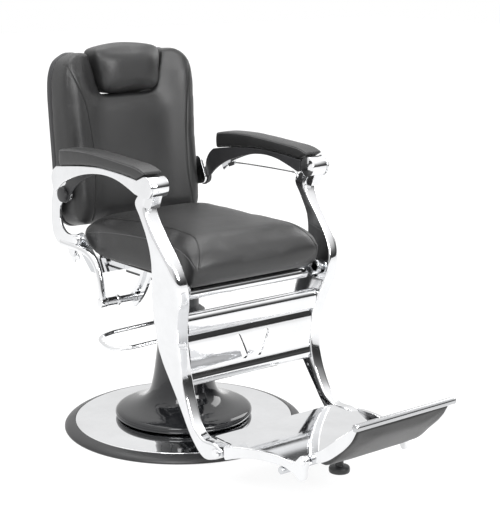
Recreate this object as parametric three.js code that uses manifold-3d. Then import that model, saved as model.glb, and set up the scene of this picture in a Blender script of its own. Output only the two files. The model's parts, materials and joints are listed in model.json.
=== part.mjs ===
// Hydraulic barber chair: reclining back, linked arms and legs, flip-over foot plate.
// Millimetres, +Z up. The origin is the middle of the base on the floor, and the chair faces -Y.
// Suffix R is the sitter's right-hand side (-X) and L the left-hand side (+X).
import * as THREE from "three";
import { mergeVertices } from "three/addons/utils/BufferGeometryUtils.js";
import Module from "manifold-3d";

const wasm = await Module();
wasm.setup();

const GAP = 0.35; // clearance between pieces that touch
const SIDES = { R: -1, L: 1 };

// Base and pump
const BASE_R = 325;
const COVER_TOP_Z = 26;
const BELL_R = 186;
const BELL_TOP_Z = 250;
const HEAD_R = 66;
const HEAD_TOP_Z = 300;
const RAM_R = 24;
const RAM_TOP_Z = 332;
const HUB_Z = 306;
const LEVER_Z = 270;
const LEVER_TURN = THREE.MathUtils.degToRad(164.3); // direction of the pump lever from +X
const LEVER_SHAFT_OUT = 44;
const LEVER_HALF_W = 79;
const LEVER_REACH = 225;
const LEVER_DROOP = 0.12; // how far the loop falls for each mm outwards

// Pivots of the reclining linkage, as [y, z]
const BACK_PIVOT = [165, 514];
const ARM_REAR = [209, 632];
const ARM_FRONT = [-243, 716];
const LEG_PIVOT = [-305, 464];
const LOCK_PIN = [33, 370];
const RECLINE_MAX = 30;
const ARM_PIN_R = 8;
const ARM_PIN_PLAY = 2.8; // the arm floats this much on its front pin as the chair reclines

// Seat
const SEAT_HALF_W = 203;
const FRAME_Z = [432.6, 473];
const PAN_Z = [473.4, 481];
const RAIL_X = [100, 124];
const EAR_X = [206, 213];

// Back, in its own tilted frame: s runs up the back and t runs from its front face to the rear
const BACK_FOOT = [209, 554];
const BACK_TILT = THREE.MathUtils.degToRad(5);
const BACK_HALF_W = 218;
const BACK_S = [-20, 451];
const NOTCH_S = 333;
const NOTCH_HALF_W = [97, 113];
const CUSHION_T = [0, 56];
const SHELL_T = [56.4, 78];
const HEADREST_S = [338, 462];
const CROSS_TUBE = [60, 38]; // s and t of the tube that ties the back to its levers

// Arms and legs
const ARM_OUT_X = 283;
const ARM_PLATE = 7;
const ARM_IN_X = 228;
const ROLL_R = 26;
const LOBE_R = 23; // black housing round the rear pivot of an arm
const LOBE_X = 245;
const LEVER_X = [219.3, 227.3];

// Foot rest
const RAIL_W = 12;
const TREAD_Z = [111, 114];
const HINGE = [-692, 133];
const FLIP_RISE = THREE.MathUtils.degToRad(37.4);
const FLIP_LEN = 202;
const FLIP_HALF_W = 150;

const chrome = { color: 0xdcdddf, roughness: 0.12, metalness: 1 };
const castChrome = { color: 0xd2d3d5, roughness: 0.16, metalness: 1 };
const steel = { color: 0x8f9295, roughness: 0.38, metalness: 1 };
const darkSteel = { color: 0x3a3c3f, roughness: 0.4, metalness: 0.8 };
const darkGloss = { color: 0x2c2e31, roughness: 0.15, metalness: 0.3 };
const vinyl = { color: 0x29292b, roughness: 0.48, metalness: 0 };
const rubber = { color: 0x161617, roughness: 0.8, metalness: 0 };
const board = { color: 0xb08d5e, roughness: 0.7, metalness: 0 };
const hardPlastic = { color: 0x1d1e20, roughness: 0.45, metalness: 0 };

const chair = new THREE.Group();

// ---------- solids ----------

function toSolid(geometry) {
  const loose = geometry.index ? geometry.toNonIndexed() : geometry;
  const bare = new THREE.BufferGeometry();
  bare.setAttribute("position", loose.getAttribute("position").clone());
  const merged = mergeVertices(bare, 1e-4);
  const mesh = new wasm.Mesh({
    numProp: 3,
    vertProperties: merged.getAttribute("position").array,
    triVerts: new Uint32Array(merged.index.array),
  });
  return new wasm.Manifold(mesh);
}

function toGeometry(solid) {
  const mesh = solid.getMesh();
  const geometry = new THREE.BufferGeometry();
  geometry.setAttribute("position", new THREE.BufferAttribute(mesh.vertProperties, 3));
  geometry.setIndex(new THREE.BufferAttribute(mesh.triVerts, 1));
  return geometry;
}

function join(first, ...others) {
  return toGeometry(others.reduce((sum, g) => sum.add(toSolid(g)), toSolid(first)));
}

function cut(first, ...tools) {
  return toGeometry(tools.reduce((rest, g) => rest.subtract(toSolid(g)), toSolid(first)));
}

function add(name, geometry, look) {
  const mesh = new THREE.Mesh(geometry, new THREE.MeshStandardMaterial(look));
  mesh.name = name;
  chair.add(mesh);
}

// Adds a piece made for the +X side, and its mirror image, as NAME_L and NAME_R.
function addPair(name, geometry, look) {
  for (const [letter, side] of Object.entries(SIDES)) {
    add(`${name}_${letter}`, side > 0 ? geometry : mirrored(geometry), look);
  }
}

function mirrored(geometry) {
  const loose = geometry.index ? geometry.toNonIndexed() : geometry.clone();
  const position = loose.getAttribute("position");
  const flipped = new Float32Array(position.count * 3);
  for (let i = 0; i < position.count; i += 3) {
    [0, 2, 1].forEach((from, to) => {
      const x = -position.getX(i + from);
      flipped.set([x, position.getY(i + from), position.getZ(i + from)], (i + to) * 3);
    });
  }
  const geometryOut = new THREE.BufferGeometry();
  geometryOut.setAttribute("position", new THREE.BufferAttribute(flipped, 3));
  return geometryOut;
}

// Moves each point in x by a function of its own y and z.
function bent(geometry, shift) {
  const position = geometry.getAttribute("position");
  for (let i = 0; i < position.count; i++) {
    position.setX(i, position.getX(i) + shift(position.getY(i), position.getZ(i)));
  }
  return geometry;
}

function box(x, y, z) {
  const geometry = new THREE.BoxGeometry(x[1] - x[0], y[1] - y[0], z[1] - z[0]);
  return geometry.translate((x[0] + x[1]) / 2, (y[0] + y[1]) / 2, (z[0] + z[1]) / 2);
}

function rodX(centre, r, x, sides = 20) {
  const geometry = new THREE.CylinderGeometry(r, r, x[1] - x[0], sides);
  geometry.rotateZ(Math.PI / 2);
  return geometry.translate((x[0] + x[1]) / 2, centre[0], centre[1]);
}

function turned(profile, sides) {
  const points = profile.map(([r, z]) => new THREE.Vector2(r, z));
  return new THREE.LatheGeometry(points, sides).rotateX(Math.PI / 2);
}

// A closed ring or tube of revolution: the profile is listed anticlockwise and closes on itself.
function ring(profile, sides) {
  return turned([...profile, profile[0]], sides);
}

function extruded(shape, depth, bevel = 0, curve = 8) {
  return new THREE.ExtrudeGeometry(shape, {
    depth: depth - 2 * bevel,
    curveSegments: curve,
    bevelEnabled: bevel > 0,
    bevelThickness: bevel,
    bevelSize: bevel,
    bevelOffset: -bevel,
    bevelSegments: bevel > 6 ? 3 : 1,
  }).translate(0, 0, bevel);
}

// Slabs: a flat outline given thickness along one axis. slabX reads outlines as (y, z).
function slabX(shape, x, bevel, curve) {
  const geometry = extruded(shape, x[1] - x[0], bevel, curve);
  geometry.applyMatrix4(new THREE.Matrix4().set(0, 0, 1, x[0], 1, 0, 0, 0, 0, 1, 0, 0, 0, 0, 0, 1));
  return geometry;
}

function slabZ(shape, z, bevel, curve) {
  return extruded(shape, z[1] - z[0], bevel, curve).translate(0, 0, z[0]);
}

// slabBack reads outlines as (x, s) and thickens them from t[0] to t[1] in the back's tilted frame.
function slabBack(shape, t, bevel, curve) {
  const geometry = extruded(shape, t[1] - t[0], bevel, curve);
  geometry.applyMatrix4(new THREE.Matrix4().set(1, 0, 0, 0, 0, 0, -1, t[1], 0, 1, 0, 0, 0, 0, 0, 1));
  return geometry.rotateX(-BACK_TILT).translate(0, BACK_FOOT[0], BACK_FOOT[1]);
}

function backPoint(s, t) {
  const [sin, cos] = [Math.sin(BACK_TILT), Math.cos(BACK_TILT)];
  return [BACK_FOOT[0] + s * sin + t * cos, BACK_FOOT[1] + s * cos - t * sin];
}

// An outline through its corners, each rounded by its own radius: corners are [a, b, radius].
function rounded(corners) {
  const shape = new THREE.Shape();
  const n = corners.length;
  corners.forEach(([a, b, radius = 0], i) => {
    const here = new THREE.Vector2(a, b);
    const before = new THREE.Vector2(...corners[(i + n - 1) % n].slice(0, 2));
    const after = new THREE.Vector2(...corners[(i + 1) % n].slice(0, 2));
    const inDir = before.sub(here).normalize();
    const outDir = after.sub(here).normalize();
    const half = Math.acos(THREE.MathUtils.clamp(inDir.dot(outDir), -1, 1)) / 2;
    const reach = radius / Math.tan(half);
    const start = here.clone().addScaledVector(inDir, reach);
    const end = here.clone().addScaledVector(outDir, reach);
    const place = i === 0 ? "moveTo" : "lineTo";
    shape[place](start.x, start.y);
    if (radius > 0) shape.quadraticCurveTo(a, b, end.x, end.y);
  });
  return spaced(shape.getPoints(4));
}

// The outline through these points, leaving out any that nearly repeats the next one.
function spaced(points) {
  return new THREE.Shape(
    points.filter((p, i) => p.distanceTo(points[(i + 1) % points.length]) > 0.4),
  );
}

// An outline made of smooth stretches: each list of points becomes one spline sampled n times.
function splined(stretches) {
  const points = [];
  for (const [list, n] of stretches) {
    const curve = new THREE.SplineCurve(list.map(([a, b]) => new THREE.Vector2(a, b)));
    points.push(...curve.getPoints(n));
  }
  return spaced(points);
}

// Points on an arc about a centre, angles in degrees.
function arc(centre, r, from, to, n) {
  return Array.from({ length: n + 1 }, (_, i) => {
    const a = THREE.MathUtils.degToRad(from + ((to - from) * i) / n);
    return [centre[0] + r * Math.cos(a), centre[1] + r * Math.sin(a)];
  });
}

function circle(centre, r) {
  const shape = new THREE.Shape();
  shape.absarc(centre[0], centre[1], r, 0, 2 * Math.PI, false);
  return shape;
}

// A round bar along a path. The path is a list of [x, y, z] points.
function bar(points, r, steps, sides = 12) {
  const curve = new THREE.CatmullRomCurve3(
    points.map((p) => new THREE.Vector3(...p)),
    false,
    "centripetal",
  );
  const section = new THREE.Shape();
  for (let i = 0; i < sides; i++) {
    const a = (2 * Math.PI * i) / sides;
    section[i ? "lineTo" : "moveTo"](r * Math.cos(a), r * Math.sin(a));
  }
  return new THREE.ExtrudeGeometry(section, { steps, extrudePath: curve, bevelEnabled: false });
}

// ---------- base and pump ----------

function makeBase() {
  const rim = [[296, 0], [322, 0], [BASE_R, 3], [BASE_R, 5], [316, 12], [306, 17.5], [296, 19.6]];
  add("floor_ring", ring(rim, 48), rubber);
  add("base_plate", turned([[0, 0], [294, 0], [294, 9], [288, 11], [0, 11]], 48), darkSteel);
  const cover = [[60, 22.5], [200, 21.5], [295.6, 16.4], [295.6, 19.8], [200, 25], [60, COVER_TOP_Z]];
  add("base_cover", ring(cover, 48), chrome);
  const tube = [[RAM_R + 1, 11.4], [58, 11.4], [58, BELL_TOP_Z - 2], [RAM_R + 1, BELL_TOP_Z - 2]];
  add("pump_cylinder", ring(tube, 40), steel);
  const outside = [
    [176, 26.4], [183, 30], [BELL_R, 38], [183, 47], [172, 54], [150, 60], [128, 67], [108, 78],
    [95, 93], [87, 112], [80, 140], [73, 185], [68, 225], [HEAD_R, BELL_TOP_Z],
  ];
  const inside = outside.slice(1).reverse().map(([r, z]) => [r - 4, z - (r > 100 ? 4 : 0)]);
  add("bell_shroud", ring([...outside, ...inside, [172, 26.4]], 36), darkGloss);
  add("pump_head", makePumpHead(), darkGloss);
}

function makePumpHead() {
  const body = ring(
    [
      [RAM_R + 1, BELL_TOP_Z + GAP], [HEAD_R, BELL_TOP_Z + GAP], [HEAD_R, HEAD_TOP_Z - 10],
      [HEAD_R - 10, HEAD_TOP_Z], [RAM_R + 1, HEAD_TOP_Z],
    ],
    40,
  );
  const bore = alongLever(new THREE.CylinderGeometry(8.4, 8.4, 3 * HEAD_R, 20), LEVER_SHAFT_OUT, 0);
  return cut(body, bore);
}

// Places a piece whose own Y axis lies along the lever shaft, out along the lever and across it.
function alongLever(geometry, out, across) {
  geometry.translate(out, across, LEVER_Z);
  return geometry.rotateZ(LEVER_TURN);
}

function makePumpLever() {
  const reach = 2 * LEVER_HALF_W + 22;
  const shaft = new THREE.CylinderGeometry(8, 8, reach, 20);
  add("pump_lever_shaft", alongLever(shaft, LEVER_SHAFT_OUT, 0), steel);
  const w = LEVER_HALF_W;
  const end = LEVER_REACH;
  const strand = [
    [LEVER_SHAFT_OUT + 9, w], [110, w], [170, w - 1], [end - 32, w - 12], [end - 10, w - 35], [end, 0],
  ];
  const flat = [...strand, ...strand.slice(0, -1).reverse().map(([out, across]) => [out, -across])];
  const path = flat.map(([out, across]) => [out, across, LEVER_DROOP * (LEVER_SHAFT_OUT - out)]);
  const loop = bar(path, 5.5, 36, 8);
  const eyes = [-w, w].map((across) => {
    const eye = new THREE.CylinderGeometry(13, 13, 13, 20);
    return eye.translate(LEVER_SHAFT_OUT, across, 0);
  });
  const bore = new THREE.CylinderGeometry(8.4, 8.4, reach + 20, 20).translate(LEVER_SHAFT_OUT, 0, 0);
  add("pump_lever_loop", alongLever(cut(join(loop, ...eyes), bore), 0, 0), chrome);
}

function makeRam() {
  add("piston_ram", turned([[0, 60], [RAM_R, 60], [RAM_R, RAM_TOP_Z], [0, RAM_TOP_Z]], 32), steel);
}

// ---------- seat ----------

function makeSeatMount() {
  const hub = [
    [0, RAM_TOP_Z + GAP], [RAM_R + GAP, RAM_TOP_Z + GAP], [RAM_R + GAP, HUB_Z], [60, HUB_Z],
    [60, 322], [44, 334], [44, 424], [0, 424],
  ];
  add("swivel_hub", turned(hub, 40), darkSteel);
  const plate = rounded([[-119, -100, 12], [119, -100, 12], [119, 100, 12], [-119, 100, 12]]);
  add("mount_plate", slabZ(plate, [424.3, 432.3]), darkSteel);
}

// Point at a recline angle on the arc that the lock pin follows.
function lockArc(r, degrees) {
  const start = Math.atan2(LOCK_PIN[1] - BACK_PIVOT[1], LOCK_PIN[0] - BACK_PIVOT[0]);
  const a = start - THREE.MathUtils.degToRad(degrees);
  return [BACK_PIVOT[0] + r * Math.cos(a), BACK_PIVOT[1] + r * Math.sin(a)];
}

function arcBand(rIn, rOut, from, to) {
  const n = 12;
  const step = (to - from) / n;
  const out = Array.from({ length: n + 1 }, (_, i) => lockArc(rOut, from + i * step));
  const back = Array.from({ length: n + 1 }, (_, i) => lockArc(rIn, to - i * step));
  return new THREE.Shape([...out, ...back].map(([a, b]) => new THREE.Vector2(a, b)).reverse());
}

// Seat rail with the slotted quadrant that guides the recline lock pin.
function makeRails() {
  const rail = box(RAIL_X, [-236, 93], FRAME_Z);
  const radius = Math.hypot(LOCK_PIN[0] - BACK_PIVOT[0], LOCK_PIN[1] - BACK_PIVOT[1]);
  const x = [RAIL_X[1] - 1, RAIL_X[1] + 7];
  const band = slabX(arcBand(radius - 19, radius + 19, -6.5, RECLINE_MAX + 3.9), x);
  const hanger = slabX(rounded([[-112, 436, 4], [20, 436, 4], [4, 470, 4], [-100, 470, 4]]), x);
  const slotX = [RAIL_X[1] + GAP, RAIL_X[1] + 12];
  const slot = slabX(arcBand(radius - 7.6, radius + 7.6, -2.6, RECLINE_MAX + 2.6), slotX);
  addPair("seat_rail", cut(join(rail, band, hanger), slot), darkSteel);
}

function makeSeatFrame() {
  makeRails();
  add("seat_beam_front", box([-205.6, 205.6], [-262, -236 - GAP], FRAME_Z), darkSteel);
  add("seat_beam_rear", box([-205.6, 205.6], [93 + GAP, 117], FRAME_Z), darkSteel);
  const pan = rounded([[-190, -255, 20], [190, -255, 20], [190, 128, 30], [-190, 128, 30]]);
  add("seat_pan", slabZ(pan, PAN_Z), board);
  const side = splined([
    [[[-268, 481.5], [-285, 463], [-306, 464], [-334, 484], [-345, 520], [-330, 556]], 12],
    [[[-322, 564], [-285, 580], [-200, 584], [-97, 584], [20, 582], [90, 579], [146, 571]], 12],
    [[[166, 558], [177, 538], [171, 511], [141, 490], [92, 481.5]], 8],
  ]);
  add("seat_cushion", slabX(side, [-SEAT_HALF_W, SEAT_HALF_W], 10), vinyl);
  const trim = rounded([
    [-263, 431, 3], [-279, 431, 5], [-287, 445, 6], [-279, 459, 5], [-263, 459, 3],
  ]);
  add("front_trim", slabX(trim, [-198, 198], 1.5), chrome);
}

function makeLegBrackets() {
  const ear = rounded([
    [-324, 452, 14], [-312, 482, 14], [-290, 482, 14], [-262, 471, 4], [-238, 471, 4],
    [-238, 434, 4], [-290, 440, 12],
  ]);
  const plate = cut(slabX(ear, EAR_X), rodX(LEG_PIVOT, 9.4, [200, 220]));
  addPair("leg_bracket", plate, steel);
  const head = rodX(LEG_PIVOT, 13, [203.4, EAR_X[0] - GAP]);
  addPair("leg_pin", join(head, rodX(LEG_PIVOT, 9, [204, 246])), steel);
}

function makeBackBrackets() {
  const [y, z] = BACK_PIVOT;
  const ear = rounded([
    [y - 17, z + 6, 9], [y - 8, z + 17, 9], [y + 8, z + 17, 9], [y + 17, z + 4, 10],
    [y + 8, z - 30, 8], [118, 434, 4], [90, 434, 4], [92, 471, 8],
  ]);
  const pin = rodX(BACK_PIVOT, 8, [EAR_X[1] - 1, 230]);
  const washer = rodX(BACK_PIVOT, 13, [EAR_X[1] - 1, LEVER_X[0] - GAP]);
  addPair("back_bracket", join(slabX(ear, EAR_X), pin, washer), steel);
}

// ---------- back ----------

function backOutline(inset) {
  const w = BACK_HALF_W - inset;
  const [low, high] = [BACK_S[0] + inset, BACK_S[1] - inset];
  const notch = NOTCH_S - inset;
  const [n0, n1] = NOTCH_HALF_W.map((half) => half + inset);
  return rounded([
    [-w + 12, low, 34], [w - 12, low, 34], [w, 90, 60], [w, 330, 80], [w - 14, high - 34, 44],
    [162, high - 5, 30], [n1, high, 18], [n0, notch, 30], [-n0, notch, 30], [-n1, high, 18],
    [-162, high - 5, 30], [14 - w, high - 34, 44], [-w, 330, 80], [-w, 90, 60],
  ]);
}

function makeBack() {
  const tubeAt = backPoint(...CROSS_TUBE);
  const tunnel = rodX(tubeAt, 10.4, [-BACK_HALF_W - 20, BACK_HALF_W + 20]);
  add("back_cushion", cut(slabBack(backOutline(0), CUSHION_T, 12), tunnel), vinyl);
  add("back_cross_tube", rodX(tubeAt, 10, [GAP - LEVER_X[0], LEVER_X[0] - GAP]), steel);
  add("back_board", slabBack(backOutline(12), [56.4, 63.8]), board);
  const shell = slabBack(backOutline(3), SHELL_T, 4);
  const hollow = slabBack(backOutline(9), [40, SHELL_T[1] - 6]);
  const sleeve = rounded([[-26, 190], [26, 190], [26, 322], [-26, 322]]);
  const passage = rounded([[-17.6, 180], [17.6, 180], [17.6, 340], [-17.6, 340]]);
  const guide = cut(slabBack(sleeve, [64.2, 71.6]), slabBack(passage, [65.4, 70.6]));
  add("back_shell", cut(shell, hollow, slabBack(passage, [65, 71.2])), hardPlastic);
  add("headrest_guide", guide, steel);
}

function makeHeadrest() {
  const [low, high] = HEADREST_S;
  const pad = rounded([
    [-91, low, 26], [91, low, 26], [104, 400, 60], [105, high - 16, 26], [50, high, 60],
    [-50, high, 60], [-105, high - 16, 26], [-104, 400, 60],
  ]);
  add("headrest_cushion", slabBack(pad, [-8, 65.4], 12), vinyl);
  const strip = rounded([[-17, 150, 4], [17, 150, 4], [17, 436, 4], [-17, 436, 4]]);
  add("headrest_bar", slabBack(strip, [65.8, 70.2]), steel);
}

function makeBackLevers() {
  const plate = splined([
    [arc(ARM_REAR, 20, 240, 160, 4), 4],
    [[[197, 654], [205, 670], [212, 684], [224, 690], [238, 684], [262, 660], [280, 630]], 10],
    [[[287, 600], [290, 572], [289, 540], [281, 512], [260, 492], [227, 486]], 10],
    [[[209, 482], [204, 470], [192, 464], [181, 469], [176, 482], [172, 497]], 8],
    [arc(BACK_PIVOT, 16, 275, 95, 8), 8],
    [[[180, 527], [200, 524], [222, 528], [240, 545], [247, 570], [244, 592], [230, 607], [210, 612]], 10],
  ]);
  const web = slabX(plate, LEVER_X, 2);
  const tube = bar(
    [[223.3, 241, 494], [224, 202, 493], [227, 150, 493], [230, 97, 487], [232, 62, 468],
      [232, 46, 438], [232, 38, 406], [232, LOCK_PIN[0], LOCK_PIN[1]]],
    9.5,
    20,
    10,
  );
  const foot = rodX(LOCK_PIN, 13, [222, 243]);
  const stud = rodX(ARM_REAR, 8, [LEVER_X[1] - 1, LOBE_X - 2]);
  const lever = cut(join(web, tube, foot, stud), rodX(BACK_PIVOT, 8.4, [210, 240]));
  addPair("back_lever", lever, castChrome);
  const shaft = join(
    rodX(LOCK_PIN, 11.5, [190, 222 - GAP]),
    rodX(LOCK_PIN, 14.5, [184, 191]),
    rodX(LOCK_PIN, 9.5, [138, 185]),
    rodX(LOCK_PIN, 12, [132, 139]),
    rodX(LOCK_PIN, 7, [125, 133]),
  );
  addPair("lock_shaft", shaft, chrome);
}

// Two-lobed hand wing under the right-hand rear corner.
function makeLockWing() {
  const hub = [192, 474];
  const lobe = rounded([[-7, 6, 5], [-9, -24, 8], [0, -31, 8], [10, -22, 8], [7, 6, 5]]);
  const wings = [14, -52].map((degrees) => {
    const wing = slabX(lobe, [-218.4, -213.6], 1);
    wing.rotateX(THREE.MathUtils.degToRad(degrees));
    return wing.translate(0, hub[0], hub[1]);
  });
  add("lock_wing", join(rodX(hub, 8, [0.4 - LEVER_X[0], -213.6]), ...wings), chrome);
}

// ---------- arms ----------

const PAD_BOTTOM = [[150, 721], [93, 729], [21, 737], [-49, 741], [-139, 738], [-208, 732]];
const PAD_TOP = [[-240, 753], [-205, 763], [-140, 768], [-51, 773], [19, 775], [91, 772], [150, 765]];
const ARCH = [
  [176, 648], [146, 671], [120, 685], [70, 703], [22, 715], [-25, 722], [-71, 724], [-116, 720],
  [-160, 709], [-200, 695],
];

function makeArmCasting() {
  const plate = splined([
    [PAD_BOTTOM.map(([y, z]) => [y, z - 1.2]), 14],
    [arc(ARM_FRONT, ROLL_R + 1.5, 62, 285, 14), 14],
    [[...ARCH].reverse(), 18],
    [[[183, 656], [191, 684], [184, 704], [166, 718]], 6],
  ]);
  const x = [ARM_OUT_X - ARM_PLATE, ARM_OUT_X];
  const side = slabX(plate, x, 2);
  const low = PAD_BOTTOM.map(([y, z]) => [y, z - 1.2]);
  const under = PAD_BOTTOM.map(([y, z]) => [y, z - 8]).reverse();
  const flange = slabX(splined([[low, 14], [under, 14]]), [ARM_IN_X + 7, x[0] + 1]);
  const frontPin = rodX(ARM_FRONT, ARM_PIN_R, [250, x[0] + 1]);
  return join(side, flange, frontPin);
}

function makeArms() {
  addPair("arm_casting", makeArmCasting(), castChrome);
  const top = PAD_BOTTOM.map(([y, z]) => [y, z - 1.2]);
  const archUp = [
    [183, 634], [160, 655], [138, 670], [104, 688], [70, 700], [22, 715], [-25, 724], [-71, 727],
    [-116, 723], [-160, 712], [-205, 698],
  ];
  const inner = splined([
    [top, 14],
    [arc(ARM_FRONT, ROLL_R + 3, 28, -28, 6), 6],
    [archUp.reverse(), 18],
    [arc(ARM_REAR, LOBE_R, 190, 450, 14), 14],
    [[[199, 662], [194, 684], [180, 704], [163, 717]], 5],
  ]);
  const cover = slabX(inner, [ARM_IN_X, ARM_IN_X + 6.5], 1);
  const lobe = rodX(ARM_REAR, LOBE_R, [ARM_IN_X + 1, LOBE_X], 28);
  const bore = rodX(ARM_REAR, 8.4, [ARM_IN_X - 2, LOBE_X - 1.5]);
  addPair("arm_cover", cut(join(cover, lobe), bore), hardPlastic);
  const pad = splined([
    [[...PAD_BOTTOM].reverse(), 12],
    [[[152, 735], [152, 752]], 1],
    [[...PAD_TOP].reverse(), 14],
    [[[-242, 747], [-236, 745]], 1],
  ]);
  addPair("arm_pad", slabX(pad, [ARM_IN_X - 1, ARM_OUT_X + 1], 2.5), vinyl);
}

// Recline release: a thin pull rod under the left-hand arm, hooked at its front end.
function makeRelease() {
  const x = 224.5;
  const rod = bar([[x, 66, 690], [x, 8, 693], [x, -100, 696], [x, -196, 697]], 2.2, 16, 8);
  const hook = bar([[x, -190, 697], [x, -203, 696.5], [x, -210, 690], [x, -206, 682]], 3, 10, 8);
  const grip = slabX(rounded([[54, 696, 2], [56, 684, 2], [80, 676, 3], [86, 686, 3]]), [x - 3, x + 3]);
  add("release_rod", join(rod, hook, grip), chrome);
}

// ---------- legs ----------

const LEG_X = [
  [90, 199], [140, 197], [190, 194], [240, 193], [290, 196], [340, 201], [390, 209],
  [440, 218], [490, 226], [540, 232], [590, 236], [720, 236],
];
const LEG_FRONT = [
  [-238, 690], [-226, 668], [-240, 636], [-278, 590], [-318, 540], [-338, 492], [-334, 440],
  [-316, 390], [-304, 340], [-303, 290], [-310, 240], [-326, 190], [-353, 140], [-390, 115],
  [-436, 115], [-468, 106],
];
const LEG_REAR = [
  [-206, 700], [-184, 672], [-205, 638], [-232, 590], [-242, 535], [-232, 470], [-219, 415],
  [-215, 350], [-221, 300], [-242, 250], [-276, 200], [-312, 150], [-350, 100], [-396, 68],
  [-438, 76], [-468, 91],
];
const FOOT_PIN = [-452, 98];

function legInner(z) {
  const i = Math.max(1, LEG_X.findIndex(([at]) => at >= z));
  const [[z0, x0], [z1, x1]] = [LEG_X[i - 1], LEG_X[i]];
  return x0 + ((x1 - x0) * THREE.MathUtils.clamp(z - z0, 0, z1 - z0)) / (z1 - z0);
}

function legWidth(z) {
  return THREE.MathUtils.mapLinear(THREE.MathUtils.clamp(z, 120, 320), 120, 320, 30, 38);
}

// A closed skin over a row of rings with equal point counts; the end rings are capped flat.
function loft(rings) {
  const n = rings[0].length;
  const points = rings.flat();
  const faces = [];
  for (let r = 0; r + 1 < rings.length; r++) {
    for (let i = 0; i < n; i++) {
      const [a, b] = [r * n + i, r * n + ((i + 1) % n)];
      faces.push(a, b, a + n, b, b + n, a + n);
    }
  }
  const last = (rings.length - 1) * n;
  for (let i = 1; i + 1 < n; i++) {
    faces.push(0, i + 1, i, last, last + i, last + i + 1);
  }
  const geometry = new THREE.BufferGeometry();
  geometry.setAttribute("position", new THREE.Float32BufferAttribute(points.flat(), 3));
  geometry.setIndex(faces);
  return geometry;
}

// One rounded-rectangle slice of a leg between its front and rear edges.
function legRing(front, rear) {
  const [y, z] = [(front.x + rear.x) / 2, (front.y + rear.y) / 2];
  const [dy, dz] = [(rear.x - front.x) / 2, (rear.y - front.y) / 2];
  const half = legWidth(z) / 2;
  const soft = (value) => Math.sign(value) * Math.abs(value) ** 0.42;
  return Array.from({ length: 14 }, (_, i) => {
    const a = (2 * Math.PI * (i + 0.5)) / 14;
    const along = soft(Math.cos(a));
    const at = z + dz * along;
    return [legInner(at) + half * (1 + soft(Math.sin(a))), y + dy * along, at];
  });
}

function makeLegs() {
  const steps = 28;
  const [fronts, rears] = [LEG_FRONT, LEG_REAR].map((list) =>
    new THREE.SplineCurve(list.map(([y, z]) => new THREE.Vector2(y, z))).getPoints(steps),
  );
  const blank = loft(fronts.map((front, i) => legRing(front, rears[i])));
  const roll = rodX(ARM_FRONT, ROLL_R, [ARM_IN_X + GAP, ARM_OUT_X - ARM_PLATE - GAP], 32);
  const web = slabX(
    rounded([[-264, 706, 4], [-246, 664, 4], [-196, 664, 4], [-206, 702, 4], [-222, 712, 3]]),
    [241, 271],
  );
  const holes = [
    rodX(LEG_PIVOT, 9.4, [200, 246.5]),
    rodX(ARM_FRONT, ARM_PIN_R + ARM_PIN_PLAY, [248, 290]),
    rodX(FOOT_PIN, 9.4, [180, 250]),
  ];
  addPair("leg", cut(join(blank, roll, web), ...holes), castChrome);
}

function makeCalfPanel() {
  const section = splined([
    [[[-297, 400], [-290, 405], [-284, 398], [-284, 372], [-288, 356], [-293, 340]], 10],
    [[[-296, 300], [-294, 262], [-290, 246]], 5],
    [[[-286, 238], [-284, 228], [-290, 219], [-300, 219], [-305, 228], [-303, 240]], 9],
    [[[-299, 252], [-302, 280], [-303, 300], [-300, 335]], 5],
    [[[-297, 348], [-304, 352], [-309, 360], [-310, 385], [-306, 398]], 9],
  ]);
  const panel = slabX(section, [-1, 1]);
  const position = panel.getAttribute("position");
  for (let i = 0; i < position.count; i++) {
    position.setX(i, position.getX(i) * (legInner(position.getZ(i)) - 1.8));
  }
  const slot = rounded([[-9, -36, 8.9], [9, -36, 8.9], [9, 36, 8.9], [-9, 36, 8.9]]);
  const slots = [-1, 1].map((side) => {
    const hole = slabZ(slot, [-60, 60], 0, 6);
    hole.rotateZ(THREE.MathUtils.degToRad(-side * 24));
    hole.rotateX(Math.PI / 2);
    return hole.translate(side * 34, -297, 292);
  });
  add("calf_panel", cut(panel, ...slots), chrome);
}

// ---------- foot rest ----------

function railShift(y) {
  return (y - HINGE[0] + 9) * 0.25;
}

function makeFootRails() {
  const outline = splined([
    [[[-470, 118], [-515, 126], [-572, 132], [-628, 131], [-668, 124]], 12],
    [arc(HINGE, 13, 60, 195, 7), 7],
    [[[-700, 112], [-698, 92], [-690, 85], [-680, 87]], 7],
    [[[-672, 97], [-642, 108], [-600, 110], [-558, 107], [-515, 98], [-474, 84]], 12],
    [[[-470.6, 92], [-470, 104]], 1],
  ]);
  const outer = 166;
  const rail = bent(slabX(outline, [outer - RAIL_W, outer], 0), railShift);
  const hinge = rodX(HINGE, 7.4, [120, 200]);
  const cross = rodX([-635, 98], 9.4, [120, 220]);
  addPair("foot_rail", cut(rail, hinge, cross), castChrome);
}

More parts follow.
